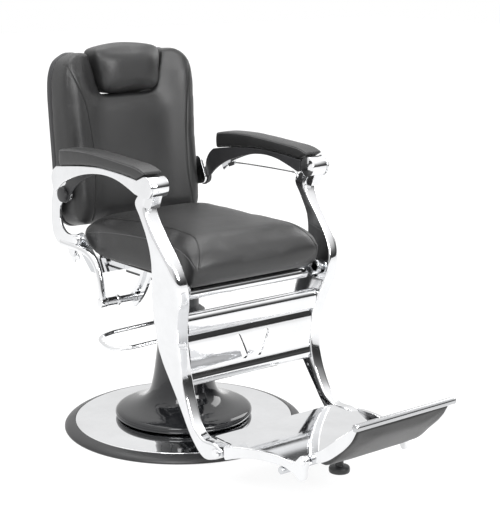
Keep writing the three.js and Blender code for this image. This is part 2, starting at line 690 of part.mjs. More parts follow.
function makeFootRest() {
  const capR = 12;
  const rear = join(
    rodX(FOOT_PIN, 9, [-236, 236]),
    rodX(FOOT_PIN, capR, [-238, -231.5]),
    rodX(FOOT_PIN, capR, [231.5, 238]),
  );
  add("rear_cross_tube", rear, steel);
  add("front_cross_tube", rodX([-635, 98], 9, [-184, 184]), steel);
  add("hinge_rod", rodX(HINGE, 7, [-168, 168]), chrome);
  const tread = new THREE.Shape();
  const halfAt = (y) => 166 + railShift(y) - RAIL_W - 1;
  const [front, mid, back] = [-672, -472, -392];
  const corners = [
    [-halfAt(front), front], [halfAt(front), front], [halfAt(mid), mid], [192, -462], [190, back],
    [-190, back], [-192, -462], [-halfAt(mid), mid],
  ];
  corners.forEach(([x, y], i) => tread[i ? "lineTo" : "moveTo"](x, y));
  tread.closePath();
  const lip = box([-186, 186], [back - 3, back], [TREAD_Z[0] - 16, TREAD_Z[0] + 1]);
  add("tread_plate", join(slabZ(tread, TREAD_Z), lip), chrome);
  const foot = turned([[0, 50], [22, 50], [25.5, 53], [25.5, 62], [21, 66], [10, 67], [10, 86], [0, 86]], 28);
  foot.translate(0, -635, 0);
  add("bumper", cut(foot, rodX([-635, 98], 9 + GAP, [-40, 40])), rubber);
}

// Foot-plate pieces are drawn lying flat, from the hinge along +Y, and turned into place.
function placeFlip(geometry) {
  geometry.rotateX(Math.PI - FLIP_RISE);
  return geometry.translate(0, HINGE[0], HINGE[1]);
}

function makeFlipPlate() {
  const plate = box([-FLIP_HALF_W + 7, FLIP_HALF_W - 7], [16, FLIP_LEN - 10], [-3, 0]);
  add("flip_plate", placeFlip(plate), chrome);
  const side = splined([
    [arc([0, 0], 11, 100, 260, 8), 8],
    [[[20, -8], [60, -3.2], [120, -3.2], [FLIP_LEN - 9.5, -3.2]], 6],
    [[[FLIP_LEN - 10.5, 6], [160, 19], [120, 25.5], [75, 27], [40, 22], [16, 13]], 10],
  ]);
  const cheek = slabX(side, [FLIP_HALF_W - 6.5, FLIP_HALF_W], 1);
  const hole = rodX([0, 0], 7.4, [FLIP_HALF_W - 20, FLIP_HALF_W + 20]);
  const right = mirrored(cut(cheek, hole));
  add("flip_side_L", placeFlip(cut(cheek, hole)), castChrome);
  add("flip_side_R", placeFlip(right), castChrome);
  const x = [-FLIP_HALF_W + 7, FLIP_HALF_W - 7];
  const soft = splined([
    [[[20, 0.4], [100, 0.4], [FLIP_LEN - 12, 0.4]], 2],
    [[[FLIP_LEN - 11, 9], [163, 21], [120, 29], [80, 33], [48, 33], [29, 26], [20, 14]], 12],
  ]);
  add("flip_pad", placeFlip(slabX(soft, x, 0)), vinyl);
  const edge = join(
    rodX([FLIP_LEN, 0], 9, [-FLIP_HALF_W - 4, FLIP_HALF_W + 4]),
    rodX([FLIP_LEN, 0], 6.5, [-FLIP_HALF_W - 8, FLIP_HALF_W + 8]),
  );
  add("flip_bar", placeFlip(edge), chrome);
}

makeBase();
makePumpLever();
makeRam();
makeSeatMount();
makeSeatFrame();
makeLegBrackets();
makeBackBrackets();
makeBack();
makeHeadrest();
makeBackLevers();
makeLockWing();
makeArms();
makeRelease();
makeLegs();
makeCalfPanel();
makeFootRails();
makeFootRest();
makeFlipPlate();

export default chair;
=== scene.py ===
"""Looks of the hydraulic barber chair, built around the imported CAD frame.

Coordinates in the tables below are millimetres in the row frame: +Z up, the sitter faces -Y, and side R is
the sitter's right (-X). Pieces are turned into metres when their mesh is made.
"""

import json
import math

import bmesh
import bpy
import numpy as np
from mathutils import Matrix, Vector
from mathutils.bvhtree import BVHTree


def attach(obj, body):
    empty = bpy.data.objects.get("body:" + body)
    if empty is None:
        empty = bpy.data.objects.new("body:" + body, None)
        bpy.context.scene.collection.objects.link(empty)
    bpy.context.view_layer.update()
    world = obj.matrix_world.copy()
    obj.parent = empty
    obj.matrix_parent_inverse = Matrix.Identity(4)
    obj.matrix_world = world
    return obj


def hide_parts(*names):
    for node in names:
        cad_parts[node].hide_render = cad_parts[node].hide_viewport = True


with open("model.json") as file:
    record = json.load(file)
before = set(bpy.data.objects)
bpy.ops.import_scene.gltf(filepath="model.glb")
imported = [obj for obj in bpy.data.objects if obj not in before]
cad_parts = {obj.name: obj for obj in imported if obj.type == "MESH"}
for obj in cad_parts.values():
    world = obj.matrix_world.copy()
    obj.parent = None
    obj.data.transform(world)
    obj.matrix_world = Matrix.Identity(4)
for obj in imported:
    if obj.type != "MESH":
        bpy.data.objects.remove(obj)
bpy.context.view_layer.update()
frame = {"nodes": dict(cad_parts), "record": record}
MM = 0.001
SIDES = {"R": -1, "L": 1}
CLOSE = 0.35
BEVEL_ANGLE = math.radians(38)
SIM_FRAMES = 20


# ---------------------------------------------------------------- curves and outlines


def spline(points, n):
    """Catmull-Rom curve through the points, n steps in all, both ends included."""
    p = [np.array(q, float) for q in points]
    out = []
    for k in range(n + 1):
        t = k / n * (len(p) - 1)
        i = min(int(t), len(p) - 2)
        w = t - i
        a, b, c, d = p[max(i - 1, 0)], p[i], p[i + 1], p[min(i + 2, len(p) - 1)]
        out.append(
            0.5 * (2 * b + (c - a) * w + (2 * a - 5 * b + 4 * c - d) * w**2 + (3 * b - a - 3 * c + d) * w**3)
        )
    return out


def arc(centre, r, start, end, n):
    """Points on a circle about the centre, angles in degrees."""
    turns = [math.radians(start + (end - start) * i / n) for i in range(n + 1)]
    return [np.array([centre[0] + r * math.cos(a), centre[1] + r * math.sin(a)]) for a in turns]


def outline(*stretches):
    """One closed outline from several lists of points, leaving out those nearer than CLOSE to the last."""
    points = [np.array(p, float) for stretch in stretches for p in stretch]
    kept = []
    for p in points:
        if not kept or np.linalg.norm(p - kept[-1]) > CLOSE:
            kept.append(p)
    while np.linalg.norm(kept[0] - kept[-1]) <= CLOSE:
        kept.pop()
    return kept


def rounded(corners, steps=7):
    """A polygon with each corner (a, b, radius) rounded."""
    points = []
    n = len(corners)
    for i, (a, b, r) in enumerate(corners):
        here = np.array([a, b], float)
        back = np.array(corners[i - 1][:2], float) - here
        ahead = np.array(corners[(i + 1) % n][:2], float) - here
        back /= np.linalg.norm(back)
        ahead /= np.linalg.norm(ahead)
        if r <= 0:
            points.append(here)
            continue
        half = math.acos(float(np.clip(back @ ahead, -1, 1))) / 2
        reach = r / math.tan(half)
        first, last = here + back * reach, here + ahead * reach
        for k in range(steps + 1):
            t = k / steps
            points.append((1 - t) ** 2 * first + 2 * t * (1 - t) * here + t**2 * last)
    return outline(points)


# ---------------------------------------------------------------- meshes


def prism(points, low, high, axis="x"):
    """A flat outline given thickness along X or Z, or, with axis "back", through the back."""
    n = len(points)
    if axis == "x":
        verts = [(x, a, b) for x in (low, high) for a, b in points]
    elif axis == "z":
        verts = [(a, b, z) for z in (low, high) for a, b in points]
    else:
        verts = [back_point(a, b, t) for t in (low, high) for a, b in points]
    faces = [tuple(range(n)), tuple(range(2 * n - 1, n - 1, -1))]
    faces += [(i, i + n, (i + 1) % n + n, (i + 1) % n) for i in range(n)]
    return verts, faces


def loft(rings, looped=False):
    """A skin over rings with equal point counts, either capped at its ends or joined into a loop."""
    n = len(rings[0])
    verts = [tuple(p) for ring in rings for p in ring]
    faces = []
    rows = len(rings) if looped else len(rings) - 1
    for r in range(rows):
        s = (r + 1) % len(rings)
        faces += [(r * n + i, r * n + (i + 1) % n, s * n + (i + 1) % n, s * n + i) for i in range(n)]
    if not looped:
        faces.append(tuple(range(n - 1, -1, -1)))
        faces.append(tuple(range((len(rings) - 1) * n, len(rings) * n)))
    return verts, faces


def turns_of(sides):
    return [2 * math.pi * k / sides for k in range(sides)]


def lathe(profile, sides=96, centre=(0, 0), axis="z"):
    """A closed profile of (radius, height) turned about the Z axis, or about X when axis is "x"."""
    rings = []
    for r, h in profile:
        ring = []
        for a in turns_of(sides):
            u, v = centre[0] + max(r, 0.01) * math.cos(a), centre[1] + max(r, 0.01) * math.sin(a)
            ring.append((u, v, h) if axis == "z" else (h, u, v))
        rings.append(ring)
    return loft(rings)


def lathe_ring(profile, sides):
    """A closed ring profile turned about Z."""
    return loft([[(r * math.cos(a), r * math.sin(a), h) for r, h in profile] for a in turns_of(sides)], looped=True)


def rod_x(centre, r, low, high, edge=1.0, sides=40):
    """A round bar along X with softened ends."""
    profile = [(0, low), (r - edge, low), (r - edge * 0.3, low + edge * 0.3), (r, low + edge)]
    profile += [(r, high - edge), (r - edge * 0.3, high - edge * 0.3), (r - edge, high), (0, high)]
    return lathe(profile, sides, centre, "x")


def tube(points, r, sides, steps):
    """A round bar along a smooth path of 3D points, its ends domed."""
    path = spline(points, steps)
    rings = []
    normal = None
    for i, p in enumerate(path):
        ahead = path[min(i + 1, steps)] - path[max(i - 1, 0)]
        ahead /= np.linalg.norm(ahead)
        if normal is None:
            normal = np.cross(ahead, [0.31, 0.2, 0.93])
        normal = normal - ahead * (normal @ ahead)
        normal /= np.linalg.norm(normal)
        side = np.cross(ahead, normal)
        radii = [(1.0, 0.0)]
        if i == 0:
            radii = [(0.25, -0.95), (0.7, -0.7), (0.92, -0.38), (1.0, 0.0)]
        if i == steps:
            radii = [(1.0, 0.0), (0.92, 0.38), (0.7, 0.7), (0.25, 0.95)]
        for scale, push in radii:
            centre = p + ahead * push * r
            rings.append(
                [centre + r * scale * (normal * math.cos(a) + side * math.sin(a)) for a in turns_of(sides)]
            )
    return loft(rings)


def mirrored(shape, side):
    """The shape for that side, where it was drawn for +X."""
    if side > 0:
        return shape
    verts, faces = shape
    return [(-x, y, z) for x, y, z in verts], [tuple(reversed(f)) for f in faces]


def object_of(name, shape):
    verts, faces = shape
    mesh = bpy.data.meshes.new(name)
    mesh.from_pydata([tuple(float(c) * MM for c in v) for v in verts], [], faces)
    piece = bpy.data.objects.new(name, mesh)
    bpy.context.scene.collection.objects.link(piece)
    bm = bmesh.new()
    bm.from_mesh(mesh)
    bmesh.ops.recalc_face_normals(bm, faces=bm.faces)
    bm.to_mesh(mesh)
    bm.free()
    return piece


def bake(piece):
    """Applies the piece's modifiers to its mesh."""
    graph = bpy.context.evaluated_depsgraph_get()
    mesh = bpy.data.meshes.new_from_object(piece.evaluated_get(graph), depsgraph=graph)
    piece.modifiers.clear()
    piece.data = mesh
    mesh.name = piece.name


def add_modifier(piece, kind, **settings):
    modifier = piece.modifiers.new(kind.lower(), kind)
    for key, value in settings.items():
        setattr(modifier, key, value)
    return modifier


def smooth(piece, degrees=32):
    mesh = piece.data
    mesh.polygons.foreach_set("use_smooth", [True] * len(mesh.polygons))
    mesh.set_sharp_from_angle(angle=math.radians(degrees))


def make(name, shape, body, slot, nodes=(), bevel=0.0, segments=3, degrees=32, look=None):
    """A finished hard piece: mesh, rounded edges, smooth shading, attached to its body, with the look of its slot or
    its own.
    """
    piece = object_of(name, shape)
    if bevel:
        add_modifier(
            piece,
            "BEVEL",
            width=bevel * MM,
            segments=segments,
            limit_method="ANGLE",
            angle_limit=BEVEL_ANGLE,
            use_clamp_overlap=True,
            miter_outer="MITER_ARC",
        )
        bake(piece)
    smooth(piece, degrees)
    if bevel:
        add_modifier(piece, "WEIGHTED_NORMAL", keep_sharp=True, weight=100)
        bake(piece)
    finish_piece(piece, body, slot, nodes, look)


def finish_piece(piece, body, slot, nodes=(), look=None):
    piece.data.materials.clear()
    piece.data.materials.append(look or SLOT_LOOKS[slot])
    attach(piece, body)
    if nodes:
        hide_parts(*nodes)


def sided(letter):
    """make() for one side of the chair: shapes are drawn for +X, and names get the side's letter."""

    def put(name, shape, body, slot, node=None, **settings):
        nodes = [f"{node}_{letter}"] if node else ()
        make(f"{name}_{letter}", mirrored(shape, SIDES[letter]), body, slot, nodes, **settings)

    return put


# ---------------------------------------------------------------- materials


def nodes_of(name):
    material = bpy.data.materials.new(name)
    material.use_nodes = True
    tree = material.node_tree
    return material, tree, tree.nodes["Principled BSDF"]


def link(tree, a, b):
    tree.links.new(a, b)


def coords(tree, scale=(1, 1, 1)):
    place = tree.nodes.new("ShaderNodeTexCoord")
    mapping = tree.nodes.new("ShaderNodeMapping")
    mapping.inputs["Scale"].default_value = scale
    link(tree, place.outputs["Object"], mapping.inputs["Vector"])
    return mapping.outputs["Vector"]


def noise_of(tree, vector, scale, detail=4.0, rough=0.55):
    tex = tree.nodes.new("ShaderNodeTexNoise")
    tex.inputs["Scale"].default_value = scale
    tex.inputs["Detail"].default_value = detail
    tex.inputs["Roughness"].default_value = rough
    link(tree, vector, tex.inputs["Vector"])
    return tex.outputs["Fac"]


def ramp(tree, value, stops):
    node = tree.nodes.new("ShaderNodeValToRGB")
    elements = node.color_ramp.elements
    while len(elements) < len(stops):
        elements.new(0.5)
    for element, (at, colour) in zip(elements, stops):
        element.position = at
        element.color = (*colour, 1)
    link(tree, value, node.inputs["Fac"])
    return node.outputs["Color"]


def remap(tree, value, low, high, source=(0.3, 0.7)):
    node = tree.nodes.new("ShaderNodeMapRange")
    node.inputs["From Min"].default_value = source[0]
    node.inputs["From Max"].default_value = source[1]
    node.inputs["To Min"].default_value = low
    node.inputs["To Max"].default_value = high
    link(tree, value, node.inputs["Value"])
    return node.outputs["Result"]


def added(tree, a, b):
    node = tree.nodes.new("ShaderNodeMath")
    node.operation = "ADD"
    link(tree, a, node.inputs[0])
    link(tree, b, node.inputs[1])
    return node.outputs[0]


def bump(tree, height, distance, strength=1.0, below=None):
    node = tree.nodes.new("ShaderNodeBump")
    node.inputs["Distance"].default_value = distance
    node.inputs["Strength"].default_value = strength
    link(tree, height, node.inputs["Height"])
    if below is not None:
        link(tree, below, node.inputs["Normal"])
    return node.outputs["Normal"]


def metal(name, colour, rough, wave=0.0, wave_scale=14, grain=None, dull=0.0):
    """Polished or brushed metal. wave is the height of slow unevenness, grain the stretch of brushing."""
    material, tree, shader = nodes_of(name)
    at = coords(tree)
    smudge = noise_of(tree, at, 9, 6, 0.62)
    fine = noise_of(tree, coords(tree, grain or (1, 1, 1)), 420 if not grain else 60, 5, 0.6)
    dark = tuple(c * (0.93 - dull) for c in colour)
    link(tree, ramp(tree, smudge, [(0.35, dark), (0.65, colour)]), shader.inputs["Base Color"])
    shader.inputs["Metallic"].default_value = 1.0
    scratches = remap(tree, fine, -0.15 * rough[1], 0.35 * rough[1])
    link(tree, added(tree, remap(tree, smudge, *rough), scratches), shader.inputs["Roughness"])
    normal = bump(tree, fine, 0.00001 if not grain else 0.00004, 0.35)
    if wave:
        normal = bump(tree, noise_of(tree, at, wave_scale, 1.5, 0.4), wave, 1.0, normal)
    link(tree, normal, shader.inputs["Normal"])
    return material


def vinyl_of(name):
    """Black upholstery vinyl: pebbled grain, soft wrinkles, and patches a little worn."""
    base = (0.015, 0.015, 0.0153)
    worn = tuple(c * 1.25 for c in base)
    material, tree, shader = nodes_of(name)
    at = coords(tree)
    cells = tree.nodes.new("ShaderNodeTexVoronoi")
    cells.feature = "DISTANCE_TO_EDGE"
    cells.inputs["Scale"].default_value = 780
    cells.inputs["Randomness"].default_value = 0.92
    link(tree, at, cells.inputs["Vector"])
    pebble = remap(tree, cells.outputs["Distance"], 0.0, 1.0, (0.0, 0.28))
    pores = noise_of(tree, at, 2100, 3, 0.6)
    wrinkle = noise_of(tree, at, 21, 5, 0.6)
    wear = noise_of(tree, at, 6.5, 5, 0.65)
    link(tree, ramp(tree, wear, [(0.36, base), (0.72, worn)]), shader.inputs["Base Color"])
    cell_rough = remap(tree, pebble, 0.05, -0.03, (0, 1))
    link(tree, added(tree, remap(tree, wear, 0.33, 0.42), cell_rough), shader.inputs["Roughness"])
    shader.inputs["Specular IOR Level"].default_value = 0.5
    shader.inputs["Sheen Weight"].default_value = 0.015
    shader.inputs["Sheen Roughness"].default_value = 0.4
    normal = bump(tree, wrinkle, 0.0008, 0.4)
    normal = bump(tree, pebble, 0.00012, 0.55, normal)
    normal = bump(tree, pores, 0.00004, 0.4, normal)
    link(tree, normal, shader.inputs["Normal"])
    return material


def coat_of(name, colour, rough, coat=0.0, speckle=0.12, texture=900, depth=0.00003):
    """Painted or moulded surface with slight mottling and orange peel."""
    material, tree, shader = nodes_of(name)
    at = coords(tree)
    mottle = noise_of(tree, at, 12, 6, 0.65)
    fine = noise_of(tree, at, texture, 3, 0.5)
    dark = tuple(c * (1 - speckle) for c in colour)
    light = tuple(min(1, c * (1 + speckle) + 0.003) for c in colour)
    link(tree, ramp(tree, mottle, [(0.35, dark), (0.68, light)]), shader.inputs["Base Color"])
    link(tree, remap(tree, mottle, *rough), shader.inputs["Roughness"])
    if coat:
        shader.inputs["Coat Weight"].default_value = coat
        shader.inputs["Coat Roughness"].default_value = 0.05
    link(tree, bump(tree, fine, depth, 0.5), shader.inputs["Normal"])
    return material


CHROME = metal("chrome", (0.8, 0.805, 0.815), (0.02, 0.07), 0.00006, 8)
CAST = metal("cast_chrome", (0.77, 0.775, 0.785), (0.035, 0.1), 0.0003, 11)
SATIN = metal("satin_chrome", (0.5, 0.505, 0.515), (0.08, 0.16), 0.00005, 9)
STEEL = metal("steel", (0.62, 0.63, 0.645), (0.16, 0.26), 0, 0, (1, 30, 30), 0.08)
DARK_STEEL = coat_of("dark_steel", (0.045, 0.047, 0.05), (0.38, 0.5))
GLOSS = coat_of("dark_gloss", (0.009, 0.0095, 0.011), (0.06, 0.12), 0.12, 0.15, 260, 0.00002)
VINYL = vinyl_of("vinyl")
THREAD = coat_of("thread", (0.012, 0.012, 0.012), (0.6, 0.75), 0, 0.3, 1500, 0.0001)
RUBBER = coat_of("rubber", (0.018, 0.018, 0.019), (0.3, 0.44), 0, 0.25, 1200, 0.00008)
PIPING = coat_of("piping", (0.06, 0.06, 0.062), (0.3, 0.42), 0.2, 0.2, 1400, 0.00006)
PLASTIC = coat_of("hard_plastic", (0.022, 0.022, 0.024), (0.42, 0.55), 0, 0.12, 1600, 0.00008)
BOARD = coat_of("board", (0.02, 0.019, 0.018), (0.7, 0.85), 0, 0.3, 700, 0.0002)
SLOT_LOOKS = {
    "chrome": CHROME,
    "cast_chrome": CAST,
    "steel": STEEL,
    "dark_steel": DARK_STEEL,
    "dark_gloss": GLOSS,
    "vinyl": VINYL,
    "rubber": RUBBER,
    "board": BOARD,
    "hard_plastic": PLASTIC,
}
NODE_LOOKS = {name: CHROME for name in ("seat_rail_R", "seat_rail_L", "seat_beam_front", "seat_beam_rear")}


def dress_nodes():
    """Gives each CAD node that stays its own finish."""
    for part in frame["record"]["subparts"]:
        node = frame["nodes"][part["node"]]
        node.data.materials.clear()
        node.data.materials.append(NODE_LOOKS.get(part["node"], SLOT_LOOKS[part["material_slot"]]))


dress_nodes()


# ---------------------------------------------------------------- base and pump

RAM_R = 24
LEVER_Z = 270
LEVER_TURN = math.radians(164.3)
LEVER_OUT = 44
LEVER_HALF_W = 79
LEVER_REACH = 225
LEVER_DROOP = 0.12
SHAFT_SIDES = 40


def make_base():
    top = spline([(295.4, 18.9), (294.6, 20.2), (292, 20.6)], 6)
    top += spline([(292, 20.6), (250, 22.6), (200, 24.8), (60, 26.2)], 18)
    under = spline([(60, 23), (200, 21.7), (295.4, 16.6)], 12)
    make("base_dish", lathe_ring(top + under, 160), "base", "chrome", ["base_cover"], degrees=40)
    rim = spline([(325, 4.5), (321.5, 9), (314, 13.8), (305, 17.6), (299.5, 19.4)], 16)
    rim += spline([(299.5, 19.4), (297.4, 19.9), (296.2, 19.4)], 4)
    rim = [(296.2, 0), (321, 0), (324, 1), (325, 2.8)] + rim
    make("base_rubber", lathe_ring(rim, 160), "base", "rubber", ["floor_ring"], degrees=50)
    outside = spline(
        [
            (174, 26.6), (181.5, 28.4), (185.6, 33), (186.3, 38.5), (184.5, 44.5), (178, 49.6), (168, 53.2),
            (150, 58), (130, 64.5), (112, 73.5), (99, 86), (90.5, 102), (85.5, 120), (80.5, 145),
            (75.5, 180), (71, 215), (68, 238), (66.4, 249.6),
        ],
        110,
    )
    inside = [(62, 249.6), (64, 225), (69, 180), (76, 140), (84, 108), (104, 76), (146, 57), (176, 44), (178, 34)]
    make("bell", lathe_ring(outside + inside, 128), "base", "dark_gloss", ["bell_shroud"])
    profile = [(RAM_R + 1, 250.4), (65, 250.4), (66, 251.2), (66.3, 254), (66.3, 287)]
    profile += arc((56.3, 287), 10, 0, 90, 8) + [(34, 298.2), (30, 300), (RAM_R + 1.2, 300)]
    make("pump_cap", lathe_ring(profile, 96), "base", "dark_gloss", ["pump_head"])
    ring = [(66.6, 246), (68.6, 247), (69.2, 250), (68.6, 253), (66.6, 254)]
    make("bell_band", lathe_ring(ring, 96), "base", "chrome")
    wiper = [(RAM_R + 0.5, 300.1), (33, 300.1), (31.5, 303.6), (RAM_R + 0.5, 304.4)]
    make("ram_wiper", lathe_ring(wiper, 64), "base", "rubber")
    ram = [(0, 60), (RAM_R - 1, 60), (RAM_R, 61), (RAM_R, 331), (RAM_R - 1, 332), (0, 332)]
    make("ram_rod", lathe(ram, 64), "ram", "steel", ["piston_ram"])


def lever_point(out, across, up=0.0):
    c, s = math.cos(LEVER_TURN), math.sin(LEVER_TURN)
    return (out * c - across * s, out * s + across * c, LEVER_Z + up)


def shaft_point(r, along, a):
    """Point at angle a on a circle of radius r about the lever's shaft."""
    return lever_point(LEVER_OUT + r * math.cos(a), along, r * math.sin(a))


def make_pump_lever():
    w, end = LEVER_HALF_W, LEVER_REACH
    path = [(LEVER_OUT, w), (80, w), (120, w), (165, w), (end - 48, w - 2)]
    path += [(end - 20, w - 14), (end - 5, w - 36), (end, w - 62)]
    path += [(end, 0)] + [(a, -b) for a, b in reversed(path)]
    loop = tube([lever_point(a, b, LEVER_DROOP * (LEVER_OUT - a)) for a, b in path], 5.5, 20, 160)
    make("lever_loop", loop, "pump_lever", "chrome", ["pump_lever_loop"])
    turns = turns_of(SHAFT_SIDES)
    eye = [(8.6, -6.5), (11.6, -6.5), (13, -5.2), (13, 5.2), (11.6, 6.5), (8.6, 6.5)]
    for name, across in (("near", -w), ("far", w)):
        rings = [[shaft_point(r, across + h, a) for r, h in eye] for a in turns]
        make("lever_eye_" + name, loft(rings, looped=True), "pump_lever", "chrome")
    shaft = [(0.01, -90), (7, -90), (8, -89), (8, 89), (7, 90), (0.01, 90)]
    rings = [[shaft_point(r, h, a) for a in turns] for r, h in shaft]
    make("lever_shaft", loft(rings), "pump_lever", "steel", ["pump_lever_shaft"])


make_base()
make_pump_lever()


# ---------------------------------------------------------------- legs and foot rest

BACK_PIVOT = (165, 514)
ARM_REAR = (209, 632)
ARM_FRONT = (-243, 716)
LEG_PIVOT = (-305, 464)
LOCK_PIN = (33, 370)
ROLL_R = 26
ARM_OUT_X = 283
ARM_IN_X = 228

LEG_X = [
    (60, 200), (90, 199), (140, 197), (190, 194), (240, 193), (290, 196), (340, 201), (390, 209),
    (440, 218), (490, 226), (540, 232), (590, 236), (720, 236),
]
LEG_FRONT = [
    (-238, 690), (-226, 668), (-240, 636), (-278, 590), (-318, 540), (-338, 492), (-334, 440),
    (-316, 390), (-304, 340), (-303, 290), (-310, 240), (-326, 190), (-353, 140), (-390, 115),
    (-436, 115), (-468, 106),
]
LEG_REAR = [
    (-206, 700), (-184, 672), (-205, 638), (-232, 590), (-242, 535), (-232, 470), (-219, 415),
    (-215, 350), (-221, 300), (-242, 250), (-276, 200), (-312, 150), (-350, 100), (-396, 68),
    (-438, 76), (-468, 91),
]
FOOT_PIN = (-452, 98)
CALF_GAP = 1.0
SLOT_AT = (34, -297, 292)
SLOT_TURN = 24


def leg_inner(z):
    return float(np.interp(z, [a for a, _ in LEG_X], [b for _, b in LEG_X]))


def leg_width(z):
    return float(np.interp(z, [120, 320], [30, 38]))


def corner_ring(half_w, half_d, radii):
    """Rounded rectangle points (across, along). Corners run inner-front, outer-front, outer-rear, inner-rear."""
    signs = [(-1, -1), (1, -1), (1, 1), (-1, 1)]
    starts = [180, 270, 0, 90]
    points = []
    for (sx, sy), start, r in zip(signs, starts, radii):
        r = min(r, half_w * 0.96, half_d * 0.96)
        centre = (sx * (half_w - r), sy * (half_d - r))
        points += arc(centre, r, start, start + 90, 6)
    return points


def make_leg(letter):
    put = sided(letter)
    steps = 150
    fronts, rears = spline(LEG_FRONT, steps), spline(LEG_REAR, steps)
    rings = []
    for front, rear in zip(fronts, rears):
        middle = (front + rear) / 2
        half_d = np.linalg.norm(rear - front) / 2
        along = (rear - front) / (2 * half_d)
        half_w = leg_width(middle[1]) / 2
        big = float(np.interp(front[1], [100, 300, 420, 480, 560, 640], [7, 8, 7, 17, 26, 12]))
        ring = []
        for across, deep in corner_ring(half_w, half_d, (5, big, 6, 5)):
            y, z = middle + along * deep
            ring.append((leg_inner(z) + half_w + across, y, z))
        rings.append(ring)
    put("leg_casting", loft(rings), "legs", "cast_chrome", "leg", degrees=50)
    roll = rod_x(ARM_FRONT, ROLL_R, ARM_IN_X + 0.4, ARM_OUT_X - 7.4, 1.6, 72)
    put("leg_roll", roll, "legs", "cast_chrome", look=CHROME)
    web = rounded([(-264, 706, 4), (-246, 664, 4), (-196, 664, 4), (-206, 702, 4), (-222, 712, 3)])
    put("leg_web", prism(web, 241, 271), "legs", "cast_chrome", bevel=2)
    boss = [(0, 197), (15, 197), (16.5, 198.5), (16.5, 202), (0, 202)]
    put("leg_foot_boss", lathe(boss, 48, FOOT_PIN, "x"), "legs", "cast_chrome")


def make_calf_panel():
    section = outline(
        spline([(-297, 399), (-293, 404), (-287, 403), (-284, 396), (-284, 372), (-287, 356), (-292, 338)], 30),
        spline([(-295, 300), (-293, 262), (-288, 242), (-284, 232), (-285, 222), (-291, 217), (-299, 218)], 30),
        spline([(-304, 224), (-305, 234), (-302, 246), (-300, 262), (-302, 290), (-300, 325), (-296, 347)], 30),
        spline([(-299, 351), (-305, 355), (-309, 363), (-310, 382), (-308, 394), (-303, 401), (-298, 402)], 26),
    )
    n = 60
    rings = []
    for k in range(n + 1):
        share = 2 * k / n - 1
        rings.append([(share * (leg_inner(z) - CALF_GAP), y, z) for y, z in section])
    panel = object_of("calf_sheet", loft(rings))
    for side in (-1, 1):
        slot = prism(rounded([(-9, -36, 8.9), (9, -36, 8.9), (9, 36, 8.9), (-9, 36, 8.9)], 10), -60, 60, "z")
        cutter = object_of("slot_cutter", slot)
        turn = Matrix.Rotation(math.radians(-side * SLOT_TURN), 4, "Z")
        stand = Matrix.Rotation(math.radians(90), 4, "X")
        shift = Matrix.Translation(Vector((side * SLOT_AT[0], *SLOT_AT[1:])) * MM)
        cutter.data.transform(shift @ stand @ turn)
        add_modifier(panel, "BOOLEAN", operation="DIFFERENCE", object=cutter, solver="EXACT")
        bake(panel)
        bpy.data.objects.remove(cutter)
    smooth(panel, 40)
    finish_piece(panel, "legs", "chrome", ["calf_panel"])


HINGE = (-692, 133)
FLIP_RISE = math.radians(37.4)
FLIP_LEN = 202
FLIP_HALF_W = 150
RAIL_X = 166
RAIL_W = 12
TREAD_Z = (111, 114)
FRONT_TUBE = (-635, 98)
TUBE_R = 9


def rail_shift(y):
    """How far the foot rails have spread at y, from where they run by the hinge."""
    return (y - HINGE[0] + 9) * 0.25


def bent_prism(points, low, high):
    verts, faces = prism(points, low, high)
    return [(x + rail_shift(y), y, z) for x, y, z in verts], faces


def make_foot_rails(letter):
    put = sided(letter)
    shape = outline(
        spline([(-470, 118), (-515, 126), (-572, 132), (-628, 131), (-668, 124)], 36),
        arc(HINGE, 13, 60, 195, 20),
        spline([(-700, 112), (-698, 92), (-690, 85), (-680, 87)], 14),
        spline([(-672, 97), (-642, 108), (-600, 110), (-558, 107), (-515, 98), (-474, 84)], 36),
        [(-470.6, 92), (-470, 104)],
    )
    put("rail", bent_prism(shape, RAIL_X - RAIL_W, RAIL_X), "legs", "cast_chrome", "foot_rail", bevel=2.2)
    cap = [(0, 165), (9.5, 165), (9.5, 168), (8, 169.4), (0, 170)]
    put("hinge_cap", lathe(cap, 40, HINGE, "x"), "legs", "chrome")


def make_foot_rest():
    make("hinge_bar", rod_x(HINGE, 7, -168, 168), "legs", "chrome", ["hinge_rod"])
    make("rear_tube", rod_x(FOOT_PIN, TUBE_R, -231, 231), "legs", "steel", ["rear_cross_tube"])
    nut = [(0, 231), (11, 231), (12, 232), (12, 235), (9, 238), (0, 239)]
    for letter in SIDES:
        sided(letter)("foot_nut", lathe(nut, 40, FOOT_PIN, "x"), "legs", "chrome")
    make("front_tube", rod_x(FRONT_TUBE, TUBE_R, -184, 184), "legs", "steel", ["front_cross_tube"])
    front, mid, back = -672, -472, -392

    def half(y):
        return RAIL_X + rail_shift(y) - RAIL_W - 1

    sheet = [(-half(front), front, 0), (half(front), front, 0), (half(mid), mid, 1), (192, -462, 1)]
    sheet += [(190, back, 6), (-190, back, 6), (-192, -462, 1), (-half(mid), mid, 1)]
    tread = prism(rounded(sheet), TREAD_Z[0], TREAD_Z[1], "z")
    make("tread", tread, "legs", "chrome", ["tread_plate"], degrees=12)
    lip = prism(rounded([(back - 3, 95, 1), (back, 95, 1), (back, 112, 0), (back - 3, 112, 0)]), -186, 186)
    make("tread_lip", lip, "legs", "chrome")
    foot = [(0, 50), (21, 50), (24.6, 51.4), (25.6, 54), (25.6, 61), (24, 64.2), (20, 66), (11, 67.4), (10, 69)]
    foot += [(10, 86), (0, 86)]
    make("bumper_foot", lathe(foot, 56, (0, FRONT_TUBE[0])), "legs", "rubber", ["bumper"])


def flip_place(shape):
    """Foot-plate pieces are drawn flat from the hinge along +Y, then turned into place."""
    verts, faces = shape
    c, s = math.cos(math.pi - FLIP_RISE), math.sin(math.pi - FLIP_RISE)
    return [(x, HINGE[0] + y * c - z * s, HINGE[1] + y * s + z * c) for x, y, z in verts], faces


